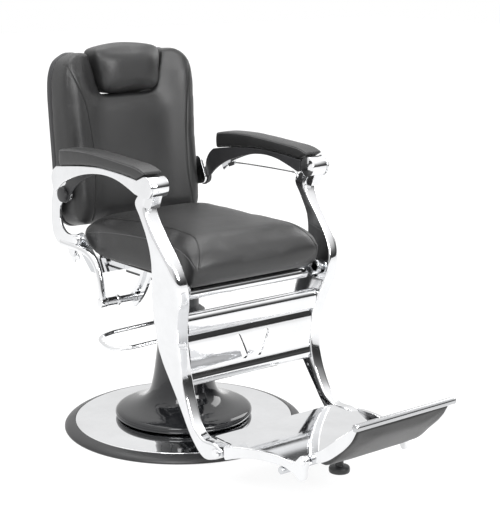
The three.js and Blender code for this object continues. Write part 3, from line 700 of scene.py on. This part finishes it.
def make_flip_metal():
    half = FLIP_HALF_W - 7
    plate = rounded([(16, -3, 1), (FLIP_LEN - 10, -3, 1), (FLIP_LEN - 10, 0, 0), (16, 0, 0)], 3)
    plate = prism(plate, -half, half)
    make("flip_sheet", flip_place(plate), "flip", "chrome", ["flip_plate"])
    side_shape = outline(
        arc((0, 0), 11, 100, 260, 24),
        spline([(20, -8), (60, -3.2), (120, -3.2), (FLIP_LEN - 9.5, -3.2)], 24),
        spline([(FLIP_LEN - 10.5, 6), (160, 19), (120, 25.5), (75, 27), (40, 22), (16, 13)], 40),
    )
    cheek = flip_place(prism(side_shape, FLIP_HALF_W - 6.5, FLIP_HALF_W))
    for letter in SIDES:
        sided(letter)("flip_cheek", cheek, "flip", "cast_chrome", "flip_side", bevel=1.4)
    knob = [(9, 149), (7.6, 150.6), (7.6, 151.6), (9, 153.5), (8.4, 155.6), (5, 158), (0, 158.5)]
    bar = lathe([(r, -h) for r, h in reversed(knob)] + knob, 48, (FLIP_LEN, 0), "x")
    make("flip_edge_bar", flip_place(bar), "flip", "chrome", ["flip_bar"], look=SATIN)


for letter in SIDES:
    make_leg(letter)
    make_foot_rails(letter)
make_calf_panel()
make_foot_rest()
make_flip_metal()


# ---------------------------------------------------------------- back levers, lock shafts, seat metal

BACK_FOOT = (209, 554)
BACK_TILT = math.radians(5)
LEVER_X = (219.3, 227.3)


def back_point(x, s, t):
    """Point at s up the back and t behind its front plane."""
    return (
        x,
        BACK_FOOT[0] + s * math.sin(BACK_TILT) + t * math.cos(BACK_TILT),
        BACK_FOOT[1] + s * math.cos(BACK_TILT) - t * math.sin(BACK_TILT),
    )


def make_back_lever(letter):
    put = sided(letter)
    shape = outline(
        arc(ARM_REAR, 20, 240, 160, 14),
        spline([(197, 654), (205, 670), (212, 684), (224, 690), (238, 684), (262, 660), (280, 630)], 40),
        spline([(287, 600), (290, 572), (289, 540), (281, 512), (260, 492), (227, 486)], 40),
        spline([(209, 482), (204, 470), (192, 464), (181, 469), (176, 482), (172, 497)], 30),
        arc(BACK_PIVOT, 16, 275, 95, 30),
        spline([(180, 527), (200, 524), (222, 528), (240, 545), (247, 570), (244, 592), (230, 607), (210, 612)], 44),
    )
    put("lever_cast", prism(shape, *LEVER_X), "back", "cast_chrome", "back_lever", bevel=2.4, segments=4)
    path = [(223.3, 241, 494), (224, 202, 493), (227, 150, 493), (230, 97, 487), (232, 62, 468), (232, 46, 438)]
    path += [(232, 38, 406), (232, *LOCK_PIN)]
    put("lever_tail", tube(path, 9.5, 28, 110), "back", "cast_chrome", look=CHROME)
    put("tail_foot", rod_x(LOCK_PIN, 13, 221, 243, 2.5, 48), "back", "chrome")
    put("lever_stud", rod_x(ARM_REAR, 8, 226, 243, 1, 32), "back", "steel")
    sleeve = [(0, 190), (10.5, 190), (11.5, 191), (11.5, 220.6), (10.5, 221.6), (0, 221.6)]
    put("lock_sleeve", lathe(sleeve, 48, LOCK_PIN, "x"), "back", "chrome")
    collar = [(0, 184), (13.4, 184), (14.6, 185), (14.6, 190), (13.4, 191), (0, 191)]
    put("lock_collar", lathe(collar, 48, LOCK_PIN, "x"), "back", "chrome", "lock_shaft")
    pin = [(0, 125), (7, 125), (7, 132), (12, 132), (12, 139), (9.5, 139.5), (9.5, 184), (0, 184)]
    put("lock_pin", lathe(pin, 40, LOCK_PIN, "x"), "back", "steel")
    cap = [(0, 227.6), (10.5, 227.6), (11.5, 228.4), (11.5, 231), (9, 233), (0, 233.6)]
    put("pivot_cap", lathe(cap, 48, BACK_PIVOT, "x"), "seat", "chrome")


def make_seat_metal():
    trim = spline([(-263.5, 431.4), (-272, 431), (-279, 432.6), (-284, 437), (-286.4, 445)], 16)
    trim += spline([(-286.4, 445), (-284, 453), (-279, 457.4), (-272, 459), (-263.5, 458.6)], 16)
    make("front_strip", prism(outline(trim), -198, 198), "seat", "chrome", ["front_trim"], bevel=1.5)
    for letter in SIDES:
        sided(letter)("leg_bolt", rod_x(LEG_PIVOT, 13, 203.4, 205.6, 0.8, 6), "seat", "steel")


def make_wing():
    hub = (192, 474)
    lobe = rounded([(-7, 6, 5), (-9, -24, 8), (0, -31, 8), (10, -22, 8), (7, 6, 5)])
    for tag, degrees in (("a", 14), ("b", -52)):
        c, s = math.cos(math.radians(degrees)), math.sin(math.radians(degrees))
        turned = [(hub[0] + a * c - b * s, hub[1] + a * s + b * c) for a, b in lobe]
        nodes = ["lock_wing"] if tag == "a" else []
        make(f"wing_{tag}", prism(turned, -218.4, -213.6), "lock_wing", "chrome", nodes, bevel=1.8)
    make("wing_hub", rod_x(hub, 8, -218.9, -213.2, 1.2), "lock_wing", "chrome")


for letter in SIDES:
    make_back_lever(letter)
make_seat_metal()
make_wing()


# ---------------------------------------------------------------- arms

PAD_BOTTOM = [(150, 721), (93, 729), (21, 737), (-49, 741), (-139, 738), (-208, 732)]
PAD_TOP = [(-240, 753), (-205, 763), (-140, 768), (-51, 773), (19, 775), (91, 772), (150, 765)]
ARCH = [
    (176, 648), (146, 671), (120, 685), (70, 703), (22, 715), (-25, 722), (-71, 724), (-116, 720),
    (-160, 709), (-200, 695),
]


def make_arm(letter):
    put = sided(letter)
    body = f"arm_{letter}"
    low = [(y, z - 1.2) for y, z in PAD_BOTTOM]
    shape = outline(
        spline(low, 50),
        arc(ARM_FRONT, ROLL_R + 1.5, 62, 285, 50),
        spline(list(reversed(ARCH)), 60),
        spline([(183, 656), (191, 684), (184, 704), (166, 718)], 20),
    )
    plate = prism(shape, ARM_OUT_X - 7, ARM_OUT_X)
    put("arm_plate", plate, body, "cast_chrome", "arm_casting", bevel=2.6, segments=4)
    under = [(y, z - 8) for y, z in reversed(PAD_BOTTOM)]
    flange = prism(outline(spline(low, 40), spline(under, 40)), ARM_IN_X + 7, ARM_OUT_X - 6)
    put("arm_flange", flange, body, "cast_chrome", bevel=0.8, segments=2)
    put("arm_pin", rod_x(ARM_FRONT, 8, 250, ARM_OUT_X - 6), body, "steel")
    arch_up = [(183, 634), (160, 655), (138, 670), (104, 688), (70, 700), (22, 715), (-25, 724), (-71, 727)]
    arch_up += [(-116, 723), (-160, 712), (-205, 698)]
    inner = outline(
        spline(low, 40),
        arc(ARM_FRONT, ROLL_R + 3, 28, -28, 12),
        spline(list(reversed(arch_up)), 60),
        arc(ARM_REAR, 23, 190, 450, 44),
        spline([(199, 662), (194, 684), (180, 704), (163, 717)], 20),
    )
    cover = prism(inner, ARM_IN_X, ARM_IN_X + 6.5)
    put("arm_inner", cover, body, "hard_plastic", "arm_cover", bevel=1.6, segments=4)
    put("arm_lobe", rod_x(ARM_REAR, 20.5, ARM_IN_X + 2, 245, 4, 64), body, "hard_plastic")


def make_release():
    x = 224.5
    rod = tube([(x, 66, 690), (x, 8, 693), (x, -100, 696), (x, -196, 697)], 2.2, 14, 60)
    make("release_bar", rod, "release", "chrome", ["release_rod"])
    hook = tube([(x, -190, 697), (x, -203, 696.5), (x, -210, 690), (x, -206, 682)], 3, 14, 30)
    make("release_hook", hook, "release", "chrome")
    grip = rounded([(54, 696, 2), (56, 684, 2), (80, 676, 3), (86, 686, 3)])
    make("release_link", prism(grip, x - 3, x + 3), "release", "chrome", bevel=1)


for letter in SIDES:
    make_arm(letter)
make_release()


# ---------------------------------------------------------------- upholstery


CREASE = 0.12
SEAM_PRESS = (1.5, 2.6)


def relaxed(mesh, values, rounds):
    """Each point's values averaged with those of its neighbours, again and again."""
    ends = np.zeros(len(mesh.edges) * 2, np.int32)
    mesh.edges.foreach_get("vertices", ends)
    first, second = ends.reshape(-1, 2).T
    count = len(mesh.vertices)
    valence = np.bincount(first, minlength=count) + np.bincount(second, minlength=count)
    for _ in range(rounds):
        total = np.stack(
            [
                np.bincount(first, values[second, k], count) + np.bincount(second, values[first, k], count)
                for k in range(3)
            ],
            axis=1,
        )
        values = 0.4 * values + 0.6 * total / valence[:, None]
    return values


def inflate(piece, voxel, pressure, cap, hold):
    """Fills a closed skin with air by cloth simulation, each point moving at most cap millimetres.

    hold(x, y, z) in metres says which points stay put. Most of each step is its smoothed value, so that the
    skin fills out without creases.
    """
    add_modifier(piece, "REMESH", mode="VOXEL", voxel_size=voxel * MM, use_smooth_shade=True)
    bake(piece)
    add_modifier(piece, "SMOOTH", factor=0.5, iterations=4)
    bake(piece)
    mesh = piece.data
    rest = np.array([v.co for v in mesh.vertices])
    cloth = add_modifier(piece, "CLOTH")
    settings = cloth.settings
    settings.quality = 5
    settings.mass = 0.3
    settings.tension_stiffness = 12
    settings.compression_stiffness = 12
    settings.shear_stiffness = 6
    settings.bending_stiffness = 0.6
    settings.use_pressure = True
    settings.uniform_pressure_force = pressure
    settings.effector_weights.gravity = 0
    cloth.collision_settings.use_collision = False
    if hold:
        group = piece.vertex_groups.new(name="hold")
        group.add([i for i, co in enumerate(rest) if hold(*co)], 1.0, "REPLACE")
        settings.vertex_group_mass = "hold"
    scene = bpy.context.scene
    cloth.point_cache.frame_start = 1
    cloth.point_cache.frame_end = SIM_FRAMES
    for f in range(1, SIM_FRAMES + 1):
        scene.frame_set(f)
    graph = bpy.context.evaluated_depsgraph_get()
    shown = piece.evaluated_get(graph).to_mesh()
    moved = np.array([v.co for v in shown.vertices])
    piece.evaluated_get(graph).to_mesh_clear()
    piece.modifiers.clear()
    scene.frame_set(1)
    step = moved - rest
    length = np.linalg.norm(step, axis=1, keepdims=True)
    step *= np.minimum(1, cap * MM / np.maximum(length, 1e-9))
    step = CREASE * step + (1 - CREASE) * relaxed(mesh, step, 30)
    mesh.vertices.foreach_set("co", (rest + step).astype(np.float32).ravel())
    piece.vertex_groups.clear()
    add_modifier(piece, "SMOOTH", factor=0.5, iterations=3)
    add_modifier(piece, "SUBSURF", levels=1, render_levels=1)
    bake(piece)


def groove(piece, lines, depth, width):
    """Presses seam lines, each a dense list of points in metres, into the skin: depth and width in mm."""
    mesh = piece.data
    count = len(mesh.vertices)
    co = np.zeros(count * 3, np.float32)
    no = np.zeros(count * 3, np.float32)
    mesh.vertices.foreach_get("co", co)
    mesh.vertex_normals.foreach_get("vector", no)
    co, no = co.reshape(-1, 3).astype(float), no.reshape(-1, 3).astype(float)
    push = np.zeros(count)
    for line in lines:
        near = np.full(count, 1e9)
        for p in line:
            near = np.minimum(near, np.linalg.norm(co - p, axis=1))
        push = np.maximum(push, np.exp(-((near / (width * MM)) ** 2)))
    co -= no * push[:, None] * depth * MM
    mesh.vertices.foreach_set("co", co.astype(np.float32).ravel())
    mesh.update()


def project(piece, points, direction, reach=0.12):
    """Seam points dropped on the skin along a direction, in metres."""
    tree = BVHTree.FromPolygons(
        [v.co.copy() for v in piece.data.vertices], [tuple(p.vertices) for p in piece.data.polygons]
    )
    direction = Vector(direction).normalized()
    hits = []
    for p in points:
        start = Vector(p) * MM - direction * reach
        hit = tree.ray_cast(start, direction, 2 * reach)[0]
        if hit is not None:
            hits.append(np.array(hit))
    return hits


def seam_thread(name, line, body, r=0.55, look=THREAD):
    """A thread or piping lying in its groove."""
    kept = [line[0]]
    for p in line[1:]:
        if np.linalg.norm(p - kept[-1]) > 0.004:
            kept.append(p)
    thread = tube([p / MM for p in kept], r, 8, 3 * len(kept))
    make(name, thread, body, "vinyl", look=look)


def soft(name, shape, body, node, voxel, pressure, cap, hold, bevel, seams=()):
    """A padded piece: bevelled blank, inflated, with its seams pressed in. Gives the piece and the seam lines."""
    piece = object_of(name, shape)
    corner = math.radians(40)
    add_modifier(piece, "BEVEL", width=bevel * MM, segments=5, limit_method="ANGLE", angle_limit=corner)
    bake(piece)
    inflate(piece, voxel, pressure, cap, hold)
    lines = [project(piece, points, direction) for points, direction in seams]
    if lines:
        groove(piece, lines, *SEAM_PRESS)
    mesh = piece.data
    mesh.polygons.foreach_set("use_smooth", [True] * len(mesh.polygons))
    finish_piece(piece, body, "vinyl", [node])
    return piece, lines


BACK_HALF_W = 218
BACK_S = (-23, 451)
NOTCH_BOTTOM = 333
NOTCH_HALF_W = (97, 113)
PAD_T = (4, 61)
PAD_HELD_T = 54
BOLSTER_T = 44
BOLSTER_X = 186
BOLSTER_H = 22
BELLY_H = 7
COVER_T = (56.8, 77.8)
BACK_OUT = (0, -math.cos(BACK_TILT), math.sin(BACK_TILT))


def back_shape(inset):
    """Outline of the back: straight sides, full round corners and the notch of the headrest."""
    w = BACK_HALF_W - inset
    low, high = BACK_S[0] + inset, BACK_S[1] - inset
    n0, n1 = NOTCH_HALF_W[0] + inset, NOTCH_HALF_W[1] + inset
    notch = NOTCH_BOTTOM - inset
    right = spline([(0, low), (w - 60, low), (w - 26, low + 7), (w - 6, low + 30), (w, low + 72), (w, 180)], 44)
    right += spline([(w, 180), (w, 290), (w - 1, 345), (w - 7, 392), (w - 23, 426), (w - 50, 444), (150, high)], 60)
    right += spline([(150, high), (132, high - 1), (n1 + 5, high - 6), (n1, high - 22)], 16)
    edge = [(n1, high - 22), (n0 + 3, notch + 48), (n0 - 4, notch + 18), (n0 - 24, notch + 2), (0, notch)]
    right += spline(edge, 44)
    left = [np.array([-x, s]) for x, s in reversed(right)]
    return outline(right, left)


def depth_at(x, s):
    """How far the padding stands forward of the flat front, in millimetres: side bolsters and a low belly."""
    bolster = BOLSTER_H * math.exp(-(((abs(x) - BOLSTER_X) / 48) ** 2)) * min(1, max(0, (475 - s) / 90)) ** 0.5
    belly = BELLY_H * math.exp(-((x / 150) ** 2)) * math.exp(-(((s - 130) / 170) ** 2))
    return bolster + belly


def make_back():
    at = [438, 398, 345, 305, 255, 200, 110, 40, 0]
    across = {
        "R": [-205, -190, -168, -152, -142, -136, -136, -146, -156],
        "L": [205, 196, 184, 176, 170, 166, 164, 172, 178],
    }
    piece, _ = soft(
        "back_pad", prism(back_shape(3), *PAD_T, "back"), "back", "back_cushion", 5.0, 3.5, 9,
        lambda x, y, z: back_t(y, z) > PAD_HELD_T, bevel=13,
    )
    shape_back(piece)
    lines = []
    for letter in SIDES:
        seam = [back_point(x, s, 0) for x, s in spline(list(zip(across[letter], at)), 130)]
        lines.append(project(piece, seam, [-c for c in BACK_OUT]))
    groove(piece, lines, *SEAM_PRESS)
    for letter, line in zip(SIDES, lines):
        seam_thread(f"back_seam_{letter}", line, "back")


def make_back_cover():
    """Smooth moulded rear of the back, rounded towards its outline."""
    shell = prism(back_shape(2), *COVER_T, "back")
    make("back_cover", shell, "back", "hard_plastic", ["back_shell"], bevel=7, segments=5, degrees=60)


def back_t(y, z):
    """How far behind the back's front plane a point in metres lies, in millimetres."""
    dy, dz = y / MM - BACK_FOOT[0], z / MM - BACK_FOOT[1]
    return dy * math.cos(BACK_TILT) - dz * math.sin(BACK_TILT)


def back_s(y, z):
    """How far up the back a point in metres lies, in millimetres."""
    dy, dz = y / MM - BACK_FOOT[0], z / MM - BACK_FOOT[1]
    return dy * math.sin(BACK_TILT) + dz * math.cos(BACK_TILT)


def shape_back(piece):
    """Pushes the front of the padding forward into its bolsters."""
    for v in piece.data.vertices:
        t = back_t(v.co.y, v.co.z)
        s = back_s(v.co.y, v.co.z)
        share = min(1, max(0, (BOLSTER_T - t) / BOLSTER_T))
        v.co += Vector(BACK_OUT) * depth_at(v.co.x / MM, s) * MM * share * share * (3 - 2 * share)
    piece.data.update()


HEADREST_T = (0, 62)
HEADREST_BELLY = 22


def make_headrest():
    right = spline([(0, 334), (40, 334), (70, 336), (86, 343), (95, 360), (98, 385), (103, 415), (105, 438)], 60)
    right += spline([(105, 438), (103, 450), (93, 457), (70, 462), (35, 465.5), (0, 466.5)], 40)
    left = [np.array([-x, s]) for x, s in reversed(right)]
    piece, _ = soft(
        "headrest_pad", prism(outline(right, left), *HEADREST_T, "back"), "headrest", "headrest_cushion",
        4.5, 4, 8, None, bevel=15,
    )
    for v in piece.data.vertices:
        s_at, t_at = back_s(v.co.y, v.co.z), back_t(v.co.y, v.co.z)
        belly = math.exp(-((v.co.x / MM / 112) ** 6)) * math.exp(-(((s_at - 392) / 60) ** 4))
        v.co += Vector(BACK_OUT) * HEADREST_BELLY * MM * belly * min(1, max(0, (40 - t_at) / 40))
    piece.data.update()


SEAT_HALF_W = 206
ARM_SEAM_DROP = 5.0


def seat_ring(x):
    """Section of the seat across x: lower and shorter towards the sides."""
    share = abs(x) / SEAT_HALF_W
    side = outline(
        spline([(-266, 481), (-284, 466), (-306, 467), (-331, 486), (-341, 520), (-327, 553)], 40),
        spline([(-318, 561), (-283, 576), (-200, 580), (-97, 580), (20, 579), (90, 576), (146, 569)], 50),
        spline([(166, 556), (177, 537), (171, 510), (141, 489), (92, 477)], 24),
    )
    ring = []
    for y, z in side:
        up = min(1, max(0, (z - 490) / 90))
        drop = 21 * share**5 * up
        tuck = 14 * share**8
        ring.append((x, y + tuck if y < -270 else y, z - drop))
    return ring


def make_seat():
    stations = [SEAT_HALF_W * 0.975 * math.sin(math.radians(a)) for a in range(-90, 91, 6)]
    top_seam = [
        (178, 118), (160, 80), (150, 20), (143, -60), (140, -130), (141, -200), (150, -262), (172, -312), (196, -336),
    ]
    seams = []
    for sign in SIDES.values():
        line = spline([(x * sign, y) for x, y in top_seam], 120)
        seams.append(([(x, y, 600) for x, y in line], (0, 0, -1)))
    piece, lines = soft(
        "seat_pad", loft([seat_ring(x) for x in stations]), "seat", "seat_cushion", 5.5, 3.5, 10,
        lambda x, y, z: z < 0.486 and -0.262 < y < 0.12, bevel=9, seams=seams,
    )
    for letter, line in zip(SIDES, lines):
        seam_thread(f"seat_seam_{letter}", line, "seat")
    side_seam = [(170, 528), (120, 538), (75, 545), (-11, 553), (-102, 558), (-180, 559)]
    side_seam += [(-250, 555), (-300, 543), (-326, 522)]
    for letter, sign in SIDES.items():
        points = [(sign * 230, y, z) for y, z in spline(side_seam, 90)]
        line = project(piece, points, (-sign, 0, 0))
        groove(piece, [line], 1.0, 2.0)
        seam_thread(f"seat_side_seam_{letter}", line, "seat", 1.0, PIPING)


def under_arm_pad(x, y, z):
    """True for the arm pad's points, in metres, that lie on the arm."""
    return z < 0.7 + 0.001 * float(np.interp(y, [-0.2, -0.05, 0.15], [34, 43, 26]))


def make_arm_pads():
    for letter, sign in SIDES.items():
        shape = outline(
            spline(list(reversed(PAD_BOTTOM)), 40),
            [(151.5, 735), (151.5, 752)],
            spline(list(reversed([(y, z - 0.5) for y, z in PAD_TOP])), 46),
            [(-241, 747.5), (-236, 745.5)],
        )
        blank = mirrored(prism(shape, ARM_IN_X - 0.5, ARM_OUT_X + 0.5), sign)
        piece, _ = soft(
            f"arm_rest_{letter}", blank, f"arm_{letter}", f"arm_pad_{letter}", 3.6, 3, 2.2, under_arm_pad,
            bevel=5.5,
        )
        path = [(y, z - ARM_SEAM_DROP) for y, z in spline(PAD_TOP, 80)][2:-2]
        for tag, x, outward in (("out", ARM_OUT_X - 0.6, sign), ("in", ARM_IN_X + 0.6, -sign)):
            points = [(sign * x + outward * 20, y, z) for y, z in path]
            line = project(piece, points, (-outward, 0, 0), 0.06)
            groove(piece, [line], 0.6, 1.5)
            seam_thread(f"arm_seam_{tag}_{letter}", line, f"arm_{letter}", 0.9, PIPING)


def make_flip_pad():
    half = FLIP_HALF_W - 8.5
    shape = outline(
        [(20, 1.2), (100, 1.2), (FLIP_LEN - 12, 1.2)],
        spline([(FLIP_LEN - 11, 9), (163, 21), (120, 29), (80, 33.5), (48, 34), (29, 27), (20, 14)], 50),
    )
    hinge, above = (np.array(q) for q in flip_place(([(0, 0, 0), (0, 0, 1)], []))[0])

    def on_plate(x, y, z):
        return (np.array([x, y, z]) / MM - hinge) @ (above - hinge) < 2.6

    blank = flip_place(prism(shape, -half, half))
    soft("flip_cushion", blank, "flip", "flip_pad", 4.0, 3, 4, on_plate, bevel=4)


make_back()
make_back_cover()
make_headrest()
make_seat()
make_arm_pads()
make_flip_pad()


# ---------------------------------------------------------------- stage, lights and camera


STUDIO_FRONT = (0.45, -0.893)
FLOOR_HALF = 14 / MM
FLOOR_Z = -0.3
CAMERA_AT = (-2135.47, -2968.74, 1302.79)
CAMERA_AZIMUTH = math.radians(-38.578)
CAMERA_PITCH = math.radians(13.108)
FOCAL_PX = 1400
IMAGE_LONG_SIDE_PX = 523
SENSOR_MM = 36


def make_stage():
    """A plain pale floor. It glows a little, so that it stays white in the chair's shade."""
    corners = [(-1, -1), (1, -1), (1, 1), (-1, 1)]
    floor = object_of("floor", ([(a * FLOOR_HALF, b * FLOOR_HALF, FLOOR_Z) for a, b in corners], [(0, 1, 2, 3)]))
    material, tree, shader = nodes_of("floor_paper")
    tone = noise_of(tree, coords(tree), 3, 3)
    link(tree, ramp(tree, tone, [(0.3, (0.21, 0.21, 0.21)), (0.7, (0.22, 0.22, 0.22))]), shader.inputs["Base Color"])
    shader.inputs["Roughness"].default_value = 0.7
    shader.inputs["Specular IOR Level"].default_value = 0.1
    shader.inputs["Emission Color"].default_value = (1, 1, 1, 1)
    shader.inputs["Emission Strength"].default_value = 0.82
    floor.data.materials.append(material)


def area_light(name, place, target, size, power):
    data = bpy.data.lights.new(name, "AREA")
    data.shape = "RECTANGLE"
    data.size, data.size_y = size
    data.energy = power
    lamp = bpy.data.objects.new(name, data)
    bpy.context.scene.collection.objects.link(lamp)
    lamp.location = place
    lamp.rotation_euler = (Vector(target) - Vector(place)).to_track_quat("-Z", "Y").to_euler()


def mix_socket(node, name):
    return next(socket for socket in node.inputs if socket.name == name and socket.type == "RGBA")


def mix_result(node):
    return next(socket for socket in node.outputs if socket.type == "RGBA")


def make_world():
    """White backdrop and ceiling, and towards the front a room that is dark near the horizon.

    The camera sees plain white. The tones light the chair and show in its polished metal.
    """
    world = bpy.data.worlds.new("studio")
    bpy.context.scene.world = world
    world.use_nodes = True
    tree = world.node_tree
    background = tree.nodes["Background"]
    place = tree.nodes.new("ShaderNodeTexCoord")
    split = tree.nodes.new("ShaderNodeSeparateXYZ")
    link(tree, place.outputs["Generated"], split.inputs[0])
    front = tree.nodes.new("ShaderNodeVectorMath")
    front.operation = "DOT_PRODUCT"
    front.inputs[1].default_value = (*STUDIO_FRONT, 0)
    link(tree, place.outputs["Generated"], front.inputs[0])
    height = remap(tree, split.outputs["Z"], 0, 1, (-1, 1))

    def grey(*stops):
        return ramp(tree, height, [(at, (v, v, v)) for at, v in stops])

    back_wall = grey((0.5, 0.86), (0.6, 0.92), (0.7, 0.98), (0.8, 1.15), (1.0, 1.5))
    room = grey((0.5, 0.04), (0.56, 0.06), (0.63, 0.18), (0.7, 0.6), (0.78, 1.15), (0.86, 1.35), (1.0, 1.5))
    side = remap(tree, front.outputs["Value"], 0, 1, (0.05, 0.62))
    mix = tree.nodes.new("ShaderNodeMix")
    mix.data_type = "RGBA"
    link(tree, side, mix.inputs["Factor"])
    link(tree, back_wall, mix_socket(mix, "A"))
    link(tree, room, mix_socket(mix, "B"))
    seen = tree.nodes.new("ShaderNodeLightPath")
    plain = tree.nodes.new("ShaderNodeMix")
    plain.data_type = "RGBA"
    link(tree, seen.outputs["Is Camera Ray"], plain.inputs["Factor"])
    link(tree, mix_result(mix), mix_socket(plain, "A"))
    mix_socket(plain, "B").default_value = (1, 1, 1, 1)
    link(tree, mix_result(plain), background.inputs["Color"])
    background.inputs["Strength"].default_value = 1.0


def make_lights():
    make_world()
    area_light("key", (-2.2, -1.9, 3.0), (0, 0, 0.5), (1.5, 1.6), 62)
    area_light("side", (3.4, 0.1, 2.2), (0, 0, 0.6), (1.6, 2.2), 42)
    area_light("front", (0.3, -3.3, 2.0), (0, 0.2, 0.8), (1.4, 1.4), 84)
    area_light("top", (0.2, 0.8, 3.6), (0, 0, 0.6), (3.0, 2.4), 55)


def make_camera():
    data = bpy.data.cameras.new("camera")
    data.sensor_width = SENSOR_MM
    data.lens = FOCAL_PX * SENSOR_MM / IMAGE_LONG_SIDE_PX
    camera = bpy.data.objects.new("camera", data)
    bpy.context.scene.collection.objects.link(camera)
    camera.location = Vector(CAMERA_AT) * MM
    level = math.cos(CAMERA_PITCH)
    out = Vector((math.sin(CAMERA_AZIMUTH) * level, -math.cos(CAMERA_AZIMUTH) * level, math.sin(CAMERA_PITCH)))
    camera.rotation_euler = (-out).to_track_quat("-Z", "Y").to_euler()
    bpy.context.scene.camera = camera


make_stage()
make_lights()
make_camera()
bpy.context.scene.view_settings.view_transform = "Standard"
